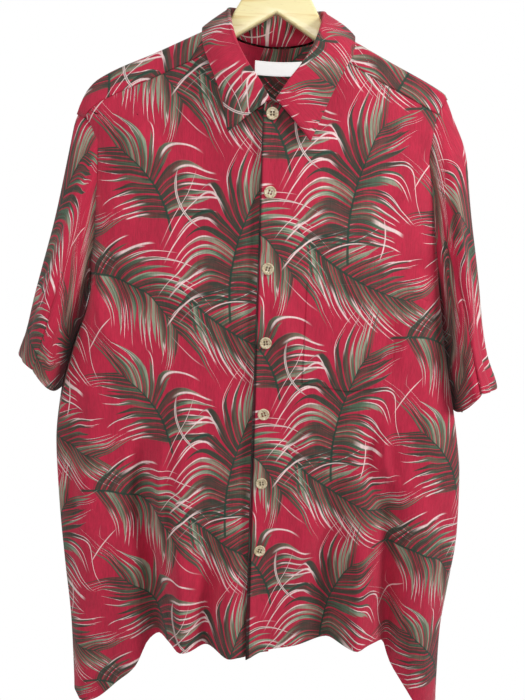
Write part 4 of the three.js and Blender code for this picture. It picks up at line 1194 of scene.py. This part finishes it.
def material_for(key):
    """Materials of the shirt, made on first use."""
    if not MATERIALS:
        colours = bpy.context.scene.shirt_colours
        groups = {"print": print_group(frond_group()), "rayon": rayon_group()}
        shift = (-PANEL_SHIFT[0] * MM, -PANEL_SHIFT[1] * MM)
        for name, label, *placing in (
            ("body", "Body"), ("lapped", "Left Front", shift, 0.0, True), ("yoke", "Yoke", (0.04, 0.075), 0.25),
            ("sleeve_left", "Left Sleeve", (0.03, 0.02), 0.2),
            ("sleeve_right", "Right Sleeve", (0.07, -0.06), -0.2), ("collar", "Collar", (0.02, 0.1), 1.2),
        ):
            MATERIALS[name] = printed_cloth("Printed Rayon " + label, groups, colours, *placing)
        MATERIALS["label"] = label_material(colours)
        MATERIALS["wood"] = wood_material(colours)
        MATERIALS["steel"] = steel_material()
        MATERIALS["button"] = button_material(colours)
        MATERIALS["red_thread"] = thread_material("Red Thread", srgb(150, 34, 52))
        MATERIALS["white_thread"] = thread_material("White Thread", srgb(236, 232, 224))
        MATERIALS["button_thread"] = thread_material("Button Thread", srgb(120, 104, 74))
    return MATERIALS[key]


# Settings

def length_setting(name, description, default, low, high):
    return bpy.props.FloatProperty(
        name=name, description=description, default=default, min=low, max=high, subtype="DISTANCE", unit="LENGTH")


def colour_setting(name, description, *shades):
    return bpy.props.FloatVectorProperty(
        name=name, description=description, default=srgb(*shades), size=4, min=0, max=1, subtype="COLOR")


class ShirtSizes(bpy.types.PropertyGroup):
    cloth: length_setting("Cloth", "Thickness of one layer of cloth", 0.0009, 0.0003, 0.0016)
    hem: length_setting("Hem", "Width of the turned hem", 0.0065, 0.004, 0.02)
    stitch: length_setting("Stitch", "Length of one stitch", 0.0024, 0.001, 0.005)
    thread: length_setting("Thread", "Width of the sewing thread", 0.00042, 0.0002, 0.001)
    button: length_setting("Button", "Radius of a button", 0.0075, 0.005, 0.01)


class ShirtColours(bpy.types.PropertyGroup):
    ground: colour_setting("Ground", "Cloth between the fronds", 186, 32, 64)
    leaf_dark: colour_setting("Dark Leaf", "Darkest leaflets and stems", 30, 62, 50)
    leaf_green: colour_setting("Green Leaf", "Middle tone of the leaflets", 60, 106, 82)
    leaf_sage: colour_setting("Sage Leaf", "Lightest leaflets", 142, 160, 136)
    leaf_pale: colour_setting("Pale Stroke", "Pale strokes at the leaflets' tips", 240, 212, 210)
    label: colour_setting("Label", "Bare woven labels", 246, 245, 242)
    wood: colour_setting("Wood", "Hanger's wood", 252, 238, 180)
    button: colour_setting("Button", "Buttons", 204, 186, 152)


# Pieces

FLOOR_RADIUS, FLOOR_HEIGHT = 0.8, -1.75
STUDIO_GLOW = 0.27
# Name, place, size, power and aim.
LIGHTS = (
    ("key", (1.8, -0.85, 0.5), 0.7, 36, (0, 0, -0.55)),
    ("fill", (-1.7, -1.2, 0.3), 1.2, 16, (0, 0, -0.55)),
    ("front", (0.1, -1.7, -0.1), 0.5, 7, (0, 0, -0.4)),
    ("top", (0.2, 0.9, 1.3), 1.5, 10, (0, 0, -0.4)),
)
# The photograph's camera: angles in degrees, the point that it looks at and how far off it stands.
CAMERA_PITCH, CAMERA_ROLL = 10.5, 2.4
CAMERA_AIM, CAMERA_AWAY = (0, -0.030, -0.55026), 0.905


def circle(count):
    return np.linspace(0, 2 * math.pi, count, endpoint=False)


class SHIRT_OT_studio(bpy.types.Operator):
    """Floor, lights and the camera that looks at the buttoned front"""

    bl_idname = "shirt.studio"
    bl_label = "Studio"

    def execute(self, context):
        scene = context.scene
        material, w, shader, place = solid_material("Studio Floor")
        white = w.ramp(w.noise(place, 0.6), (0.3, srgb(247, 247, 247)), (0.7, srgb(251, 251, 251)))
        w.fill(shader, {"Base Color": white, "Roughness": 0.9})
        corners = [(math.cos(a) * FLOOR_RADIUS, math.sin(a) * FLOOR_RADIUS, FLOOR_HEIGHT) for a in circle(64)]
        mesh = bpy.data.meshes.new("studio_floor")
        mesh.from_pydata(corners, [], [list(range(len(corners)))])
        mesh.materials.append(material)
        add_object("studio_floor", mesh)

        world = bpy.data.worlds.new("Studio White")
        world.use_nodes = True
        w = Wires(world.node_tree)
        seen = w.new("ShaderNodeLightPath", key="Is Camera Ray")
        w.fill(world.node_tree.nodes["Background"], {
            "Color": (1, 1, 1, 1), "Strength": seen * (1.0 - STUDIO_GLOW) + STUDIO_GLOW,
        })
        scene.world = world
        scene.view_settings.view_transform = "Standard"

        for name, place, size, power, aim in LIGHTS:
            light = bpy.data.lights.new(name, "AREA")
            light.size = size
            light.energy = power
            lamp = bpy.data.objects.new(name, light)
            lamp.location = place
            lamp.rotation_euler = (Vector(aim) - Vector(place)).to_track_quat("-Z", "Y").to_euler()
            scene.collection.objects.link(lamp)

        pitch, roll = math.radians(CAMERA_PITCH), math.radians(CAMERA_ROLL)
        forward = Vector((0, math.cos(pitch), -math.sin(pitch)))
        upward = Vector((0, math.sin(pitch), math.cos(pitch)))
        sideways = Vector((1, 0, 0))
        across = sideways * math.cos(roll) + upward * math.sin(roll)
        top = upward * math.cos(roll) - sideways * math.sin(roll)
        data = bpy.data.cameras.new("camera")
        data.sensor_fit = "VERTICAL"
        data.sensor_height = 24
        data.lens = 24
        data.clip_start = 0.02
        camera = bpy.data.objects.new("camera", data)
        turn = Matrix((across, top, -forward)).transposed()
        camera.matrix_world = Matrix.Translation(Vector(CAMERA_AIM) - forward * CAMERA_AWAY) @ turn.to_4x4()
        scene.collection.objects.link(camera)
        scene.camera = camera
        return {"FINISHED"}


def hem_band(grid, width):
    """How much thicker the shell is where its lower edge is turned."""
    left = walked(grid[::-1])[::-1]
    return 1 + 0.75 * smoothstep(width * 1.12, width, left) - 0.6 * smoothstep(0.9, 0, left)


class SHIRT_OT_fronts(bpy.types.Operator):
    """Both fronts, the viewer's right one lapped over the other"""

    bl_idname = "shirt.fronts"
    bl_label = "Fronts"

    def execute(self, context):
        sizes = context.scene.shirt_sizes
        for name, node, side, key in (
            ("front_under", "front_right", LEFT, "body"), ("front_over", "front_left", RIGHT, "lapped"),
        ):
            grid = front_grid(side)
            flip = side is LEFT
            keep_surface(name, grid, flip=flip)
            piece = shell(
                name, grid, flat_uv("front", grid), sizes.cloth / MM, material_for(key), flip=flip,
                band=hem_band(grid, sizes.hem / MM))
            dress(piece, node)
        return {"FINISHED"}


class SHIRT_OT_back(bpy.types.Operator):
    """Back panel and the yoke over the shoulders"""

    bl_idname = "shirt.back"
    bl_label = "Back and Yoke"

    def execute(self, context):
        sizes = context.scene.shirt_sizes
        grid = back_grid()
        keep_surface("back_panel", grid, flip=True)
        piece = shell(
            "back_panel", grid, flat_uv("back", grid), sizes.cloth / MM, material_for("body"), flip=True,
            band=hem_band(grid, sizes.hem / MM))
        dress(piece, "back")
        grid = yoke_grid()
        keep_surface("yoke_panel", grid, flip=True)
        # Across, and the way walked over the shoulder from its middle.
        uv = np.stack([grid[..., 0], walked(grid) - 150.0], axis=-1) * MM
        piece = shell("yoke_panel", grid, uv, sizes.cloth / MM, material_for("yoke"), flip=True)
        dress(piece, "yoke")
        return {"FINISHED"}


class SHIRT_OT_sleeves(bpy.types.Operator):
    """Short sleeves, open at the armhole and the cuff"""

    bl_idname = "shirt.sleeves"
    bl_label = "Sleeves"

    def execute(self, context):
        sizes = context.scene.shirt_sizes
        for name, node, side in (
            ("short_sleeve_right", "sleeve_right", LEFT), ("short_sleeve_left", "sleeve_left", RIGHT),
        ):
            grid = sleeve_grid(side)
            flip = side is RIGHT
            keep_surface(name, grid, tube=True, flip=flip)
            around = walked(np.concatenate([grid, grid[:, :1]], axis=1).swapaxes(0, 1)).T
            down = walked(grid.mean(axis=1, keepdims=True))
            uv = np.stack([around - around[:, -1:] / 4, np.broadcast_to(-down, around.shape)], axis=-1) * MM
            piece = shell(
                name, grid, uv, sizes.cloth / MM, material_for(node), tube=True, flip=flip,
                band=hem_band(grid, CUFF))
            dress(piece, node)
        return {"FINISHED"}


class SHIRT_OT_collar(bpy.types.Operator):
    """Open camp collar, folded over along its crease"""

    bl_idname = "shirt.collar"
    bl_label = "Collar"

    def execute(self, context):
        grid = collar_grid()
        keep_surface("camp_collar", grid)
        down = walked(grid)
        around = walked(grid[16][:, None]).T
        uv = np.stack([np.broadcast_to(around - around[:, -1:] / 2, down.shape), down], axis=-1) * MM
        band = np.ones(grid.shape[:2])
        band[0] = band[-1] = 0.35
        band[-2] = 0.7
        piece = shell("camp_collar", grid, uv, COLLAR_CLOTH, material_for("collar"), band=band)
        dress(piece, "collar")
        return {"FINISHED"}


class SHIRT_OT_pocket(bpy.types.Operator):
    """Chest pocket with its print matched to the front"""

    bl_idname = "shirt.pocket"
    bl_label = "Pocket"

    def execute(self, context):
        grid = pocket_grid()
        keep_surface("chest_pocket", grid)
        piece = shell("chest_pocket", grid, flat_uv("front", grid), POCKET_CLOTH, material_for("lapped"))
        dress(piece, "pocket")
        return {"FINISHED"}


class SHIRT_OT_labels(bpy.types.Operator):
    """Bare woven labels inside the back of the neck"""

    bl_idname = "shirt.labels"
    bl_label = "Labels"

    def execute(self, context):
        for name, node, place in (
            ("woven_label", "neck_label", (5, 60, -183.5, 17, 9, 25)),
            ("woven_tab", "size_tab", (52, 15, -172, 16, 9, 9)),
        ):
            grid = label_grid(*place)
            keep_surface(name, grid)
            piece = shell(name, grid, grid[..., ::2] * MM, LABEL_CLOTH, material_for("label"), flip=True)
            dress(piece, node)
        return {"FINISHED"}


def lathe(profile, steps):
    """Closed mesh from a profile of radius and height that starts and ends on the axis."""
    mesh = bmesh.new()
    rings = [
        [mesh.verts.new((radius * math.cos(a), radius * math.sin(a), height)) for a in circle(steps if radius else 1)]
        for radius, height in profile
    ]
    for lower, upper in zip(rings, rings[1:]):
        for k in range(steps):
            corners = (
                ring[(k + step) % len(ring)] for ring, step in ((lower, 0), (lower, 1), (upper, 1), (upper, 0))
            )
            mesh.faces.new(list(dict.fromkeys(corners)))
    bmesh.ops.recalc_face_normals(mesh, faces=mesh.faces)
    return mesh


def solid(mesh, name):
    data = bpy.data.meshes.new(name)
    mesh.to_mesh(data)
    mesh.free()
    return data


def evaluated_mesh(piece, name):
    """Plain mesh of a piece with its modifiers, after which the piece is removed."""
    graph = bpy.context.evaluated_depsgraph_get()
    mesh = bpy.data.meshes.new_from_object(piece.evaluated_get(graph), depsgraph=graph)
    mesh.name = name
    bpy.data.objects.remove(piece)
    return mesh


def hard_piece(mesh, name, node, key, sharp_from):
    """Wood or steel piece from a mesh in millimetres, smooth up to an angle in degrees."""
    mesh.transform(Matrix.Diagonal((MM, MM, MM, 1)))
    for polygon in mesh.polygons:
        polygon.use_smooth = True
    mesh.set_sharp_from_angle(angle=math.radians(sharp_from))
    mesh.materials.clear()
    mesh.materials.append(material_for(key))
    dress(add_object(name, mesh), node)


BUTTON_COUNT = 7
BUTTON_TOP = -261
BUTTON_SPACING = 91.2
BUTTON_FROM_EDGE = 12
BUTTON_HOLE = {"off": 1.65, "radius": 1.2}


def button_place(index):
    z = BUTTON_TOP - index * BUTTON_SPACING
    x = float(overlap_edge(z)) + BUTTON_FROM_EDGE
    point = on_face("front", x, z, 1.7)
    across = on_face("front", x + 6, z, 0, False) - on_face("front", x - 6, z, 0, False)
    down = on_face("front", x, z - 6, 0, False) - on_face("front", x, z + 6, 0, False)
    normal = Vector(np.cross(down, across)).normalized()
    if normal.y > 0:
        normal.negate()
    side = Vector(across).normalized()
    turn = Matrix((side, normal.cross(side), normal)).transposed()
    return Matrix.Translation(Vector(point)) @ turn.to_4x4()


class SHIRT_OT_buttons(bpy.types.Operator):
    """Seven four-hole buttons with the thread that holds them"""

    bl_idname = "shirt.buttons"
    bl_label = "Buttons"

    def execute(self, context):
        radius = context.scene.shirt_sizes.button / MM
        profile = [
            (0, 0), (radius - 2, 0), (radius - 0.7, 0.4), (radius, 1.2), (radius - 0.15, 1.9), (radius - 0.7, 2.45),
            (radius - 1.3, 2.55), (radius - 1.9, 2.35), (radius - 2.6, 1.75), (radius - 3.4, 1.6), (0, 1.6),
        ]
        body = add_object("button_blank", solid(lathe(profile, 56), "button_blank"))
        cutters, thread = bmesh.new(), bmesh.new()
        hole = BUTTON_HOLE["radius"]
        for x in (-BUTTON_HOLE["off"], BUTTON_HOLE["off"]):
            for y in (-BUTTON_HOLE["off"], BUTTON_HOLE["off"]):
                bmesh.ops.create_cone(
                    cutters, cap_ends=True, segments=18, radius1=hole, radius2=hole, depth=6,
                    matrix=Matrix.Translation((x, y, 1.0)))
            for lane in (-0.16, 0.16):
                points = [(x + lane, y, z) for y, z in ((-1.8, 0.6), (-1.6, 1.7), (0, 2.0), (1.6, 1.7), (1.8, 0.6))]
                add_tube(thread, points, 0.17, 6)
        cutter = add_object("button_holes", solid(cutters, "button_holes"))
        cut = body.modifiers.new("holes", "BOOLEAN")
        cut.object = cutter
        cut.solver = "EXACT"
        blank = evaluated_mesh(body, "button_blank")
        bpy.data.objects.remove(cutter)
        strands = solid(thread, "button_strands")
        for index in range(BUTTON_COUNT):
            spin = Matrix.Rotation(0.35 * math.sin(5.1 * index), 4, "Z")
            place = Matrix.Diagonal((MM, MM, MM, 1)) @ button_place(index) @ spin
            for name, source, key in (
                (f"horn_button_{index + 1}", blank, "button"), (f"button_thread_{index + 1}", strands, "button_thread"),
            ):
                mesh = source.copy()
                mesh.name = name
                mesh.materials.clear()
                mesh.materials.append(material_for(key))
                mesh.transform(place)
                mesh.set_sharp_from_angle(angle=math.radians(40))
                piece = add_object(name, mesh)
                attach(piece, "root")
                if key == "button":
                    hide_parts(f"button_{index + 1}")
        return {"FINISHED"}


def add_tube(mesh, points, radius, sides):
    """Closed tube along points."""
    points = [Vector(p) for p in points]
    rings = []
    normal = None
    for k, point in enumerate(points):
        tangent = (points[min(k + 1, len(points) - 1)] - points[max(k - 1, 0)]).normalized()
        if normal is None:
            normal = tangent.orthogonal().normalized()
        normal = (normal - tangent * normal.dot(tangent)).normalized()
        other = tangent.cross(normal)
        rings.append([
            mesh.verts.new(point + normal * radius * math.cos(a) + other * radius * math.sin(a))
            for a in circle(sides)
        ])
    for lower, upper in zip(rings, rings[1:]):
        for k in range(sides):
            mesh.faces.new((lower[k], lower[(k + 1) % sides], upper[(k + 1) % sides], upper[k]))
    mesh.faces.new(rings[0][::-1])
    mesh.faces.new(rings[-1])


# Hanger outline: crown, then the underside, as x and z.
HANGER_CROWN = [(0, -80), (12, -82), (22, -89), (31, -101), (41, -118), (51, -135), (60, -152)]
HANGER_UNDERSIDE = [(204, -241), (90, -188), (61, -172.5), (0, -136)]
HANGER_BELOW_CLOTH = 3.2
HANGER_ARM_END = 210
HANGER_END_RADIUS = 6
HANGER_THICKNESS = 12
# Hook: its wire's radius, the bend's inner radius and the height of the bend's middle.
HOOK_WIRE, HOOK_BEND, HOOK_MIDDLE = 1.8, 20, -20


class SHIRT_OT_hanger(bpy.types.Operator):
    """Flat wooden hanger with its steel hook"""

    bl_idname = "shirt.hanger"
    bl_label = "Hanger"

    def execute(self, context):
        crown = Curve(HANGER_CROWN)
        end_x = HANGER_ARM_END - HANGER_END_RADIUS
        top = [(x, float(crown(x))) for x in np.linspace(0, 60, 31)]
        for x in spaced([72, 100, 150, end_x], 8):
            top.append((x, min(float(LEFT.ridge(x)), float(RIGHT.ridge(x))) - HANGER_BELOW_CLOTH))
        end_z = top[-1][1]
        for turn in np.radians(np.linspace(20, 90, 5)):
            top.append((end_x + HANGER_END_RADIUS * math.sin(turn), end_z - 14 * (1 - math.cos(turn))))
        half = top + HANGER_UNDERSIDE
        outline = half + [(-x, z) for x, z in half[-2:0:-1]]
        mesh = bmesh.new()
        face = mesh.faces.new([mesh.verts.new((x, -HANGER_THICKNESS / 2, z)) for x, z in outline])
        extruded = bmesh.ops.extrude_face_region(mesh, geom=[face])
        moved = [item for item in extruded["geom"] if isinstance(item, bmesh.types.BMVert)]
        bmesh.ops.translate(mesh, verts=moved, vec=(0, HANGER_THICKNESS, 0))
        bmesh.ops.recalc_face_normals(mesh, faces=mesh.faces)
        blank = add_object("hanger_blank", solid(mesh, "hanger_blank"))
        rounding = blank.modifiers.new("rounding", "BEVEL")
        rounding.width = 3.4
        rounding.segments = 5
        rounding.limit_method = "ANGLE"
        rounding.angle_limit = math.radians(50)
        hard_piece(evaluated_mesh(blank, "hanger_wood"), "hanger_wood", "hanger_body", "wood", 35)

        radius = HOOK_BEND + HOOK_WIRE
        path = [(0, 0, -79.7), (0, 0, -70), (0, 0, -64), (0.4, 0, -54), (3.8, 0, -46)]
        for turn in np.radians(np.arange(-60, 206, 22)):
            path.append((radius * math.cos(turn), 0, HOOK_MIDDLE + radius * math.sin(turn)))
        line = through(path, 140)
        wire = bmesh.new()
        add_tube(wire, line, HOOK_WIRE, 20)
        bmesh.ops.create_uvsphere(
            wire, u_segments=20, v_segments=12, radius=2.0, matrix=Matrix.Translation(Vector(line[-1])))
        bmesh.ops.create_cone(
            wire, cap_ends=True, segments=28, radius1=4.2, radius2=3.4, depth=1.6,
            matrix=Matrix.Translation((0, 0, -79.3)))
        hard_piece(solid(wire, "hanger_wire"), "hanger_wire", "hanger_hook", "steel", 40)
        return {"FINISHED"}


def stitch_tree(material):
    """Geometry nodes that lay short threads along lines."""
    tree = bpy.data.node_groups.new("Stitches Along Lines", "GeometryNodeTree")
    sockets = tree.interface
    sockets.new_socket("Geometry", in_out="INPUT", socket_type="NodeSocketGeometry")
    for label, default in (("Stitch Length", 0.0024), ("Gap", 0.0008), ("Thread Width", 0.00042)):
        socket = sockets.new_socket(label, in_out="INPUT", socket_type="NodeSocketFloat")
        socket.default_value = default
        socket.subtype = "DISTANCE"
    thread = sockets.new_socket("Thread", in_out="INPUT", socket_type="NodeSocketMaterial")
    thread.default_value = material
    sockets.new_socket("Geometry", in_out="OUTPUT", socket_type="NodeSocketGeometry")
    w = Wires(tree)
    given = w.node("NodeGroupInput")
    length, width = w.out(given, "Stitch Length"), w.out(given, "Thread Width")
    curve = w.new("GeometryNodeMeshToCurve", {"Mesh": w.out(given, "Geometry")}, "Curve")
    points = w.node(
        "GeometryNodeCurveToPoints", {"Curve": curve, "Length": length + w.out(given, "Gap")}, mode="LENGTH")
    beads = w.new("GeometryNodeInstanceOnPoints", {
        "Points": w.out(points, "Points"),
        "Instance": w.new("GeometryNodeMeshIcoSphere", {"Radius": 0.5, "Subdivisions": 1}, "Mesh"),
        "Rotation": w.out(points, "Rotation"),
        "Scale": w.xyz(width, width, length),
    }, "Instances")
    real = w.new("GeometryNodeRealizeInstances", {"Geometry": beads}, "Geometry")
    paint = {"Geometry": real, "Material": w.out(given, "Thread")}
    w.node("NodeGroupOutput", {"Geometry": w.new("GeometryNodeSetMaterial", paint, "Geometry")})
    return tree


def lay_stitches(name, lines, tree, sizes, material):
    vertices, edges = [], []
    for line in lines:
        start = len(vertices)
        vertices += (np.asarray(line) * MM).tolist()
        edges += [(start + k, start + k + 1) for k in range(len(line) - 1)]
    mesh = bpy.data.meshes.new(name + "_lines")
    mesh.from_pydata(vertices, edges, [])
    holder = add_object(name + "_lines", mesh)
    modifier = holder.modifiers.new("stitches", "NODES")
    modifier.node_group = tree
    values = {
        "Stitch Length": sizes.stitch, "Gap": sizes.stitch * 0.35, "Thread Width": sizes.thread, "Thread": material,
    }
    for item in tree.interface.items_tree:
        if item.item_type == "SOCKET" and item.in_out == "INPUT" and item.name in values:
            modifier[item.identifier] = values[item.name]
    piece = add_object(name, evaluated_mesh(holder, name))
    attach(piece, "root")


# How far the stitches stand off the cloth's middle beyond half its thickness, and more on a turned hem.
STITCH_LIFT, HEM_LIFT = 0.12, 0.3


class SHIRT_OT_stitching(bpy.types.Operator):
    """Sewing along hems, edges and seams"""

    bl_idname = "shirt.stitching"
    bl_label = "Stitching"

    def execute(self, context):
        sizes = context.scene.shirt_sizes
        tree = stitch_tree(material_for("red_thread"))
        lift = sizes.cloth / MM / 2 + STITCH_LIFT
        hem = sizes.hem / MM - 1.2

        def line(name, edge, distance, ends=(0.0, 1.0), out=lift):
            return inset_line(*SURFACES[name], edge, distance, out, ends)

        lines = [
            line(name, "bottom", hem, out=lift + HEM_LIFT) for name in ("front_under", "front_over", "back_panel")
        ]
        lines += [line("front_over", "left", distance, (0.0, 0.99)) for distance in (2.6, 27)]
        lines += [line("yoke_panel", edge, 2.0) for edge in ("top", "bottom")]
        for name in ("short_sleeve_right", "short_sleeve_left"):
            cuff = line(name, "bottom", CUFF - 1.5, out=lift + HEM_LIFT)
            lines.append(np.vstack([cuff, cuff[:1]]))
        lines += [line("chest_pocket", edge, 2.0, (0.015, 0.985)) for edge in ("left", "right", "bottom")]
        lines.append(line("chest_pocket", "top", 22.0))
        for edge, ends in (("bottom", (0.02, 0.98)), ("left", (0.45, 0.97)), ("right", (0.45, 0.97))):
            lines.append(line("camp_collar", edge, 5.0, ends, 0.72))
        lay_stitches("seam_stitches", lines, tree, sizes, material_for("red_thread"))

        tabs = [
            line(name, edge, 1.4, out=0.35)
            for name, edge in (("woven_label", "left"), ("woven_label", "right"), ("woven_tab", "top"))
        ]
        lay_stitches("label_stitches", tabs, tree, sizes, material_for("white_thread"))
        return {"FINISHED"}


ORDER = (
    SHIRT_OT_studio, SHIRT_OT_fronts, SHIRT_OT_back, SHIRT_OT_sleeves, SHIRT_OT_collar, SHIRT_OT_pocket,
    SHIRT_OT_labels, SHIRT_OT_buttons, SHIRT_OT_hanger, SHIRT_OT_stitching,
)


class SHIRT_PT_panel(bpy.types.Panel):
    """Pieces of the shirt in the order in which they are made"""

    bl_idname = "SHIRT_PT_panel"
    bl_label = "Palm Shirt"
    bl_space_type = "VIEW_3D"
    bl_region_type = "UI"
    bl_category = "Palm Shirt"

    def draw(self, context):
        for group in (context.scene.shirt_sizes, context.scene.shirt_colours):
            box = self.layout.box()
            for key in group.__annotations__:
                box.prop(group, key)
        for operator in ORDER:
            self.layout.operator(operator.bl_idname)


CLASSES = (ShirtSizes, ShirtColours, *ORDER, SHIRT_PT_panel)


def register():
    for entry in CLASSES:
        bpy.utils.register_class(entry)
    bpy.types.Scene.shirt_sizes = bpy.props.PointerProperty(type=ShirtSizes)
    bpy.types.Scene.shirt_colours = bpy.props.PointerProperty(type=ShirtColours)


def unregister():
    del bpy.types.Scene.shirt_colours
    del bpy.types.Scene.shirt_sizes
    for entry in reversed(CLASSES):
        bpy.utils.unregister_class(entry)


def main():
    register()
    for operator in ORDER:
        group, action = operator.bl_idname.split(".")
        result = getattr(getattr(bpy.ops, group), action)()
        if result != {"FINISHED"}:
            raise RuntimeError(f"{operator.bl_label} wasn't finished")


if __name__ == "__main__":
    main()
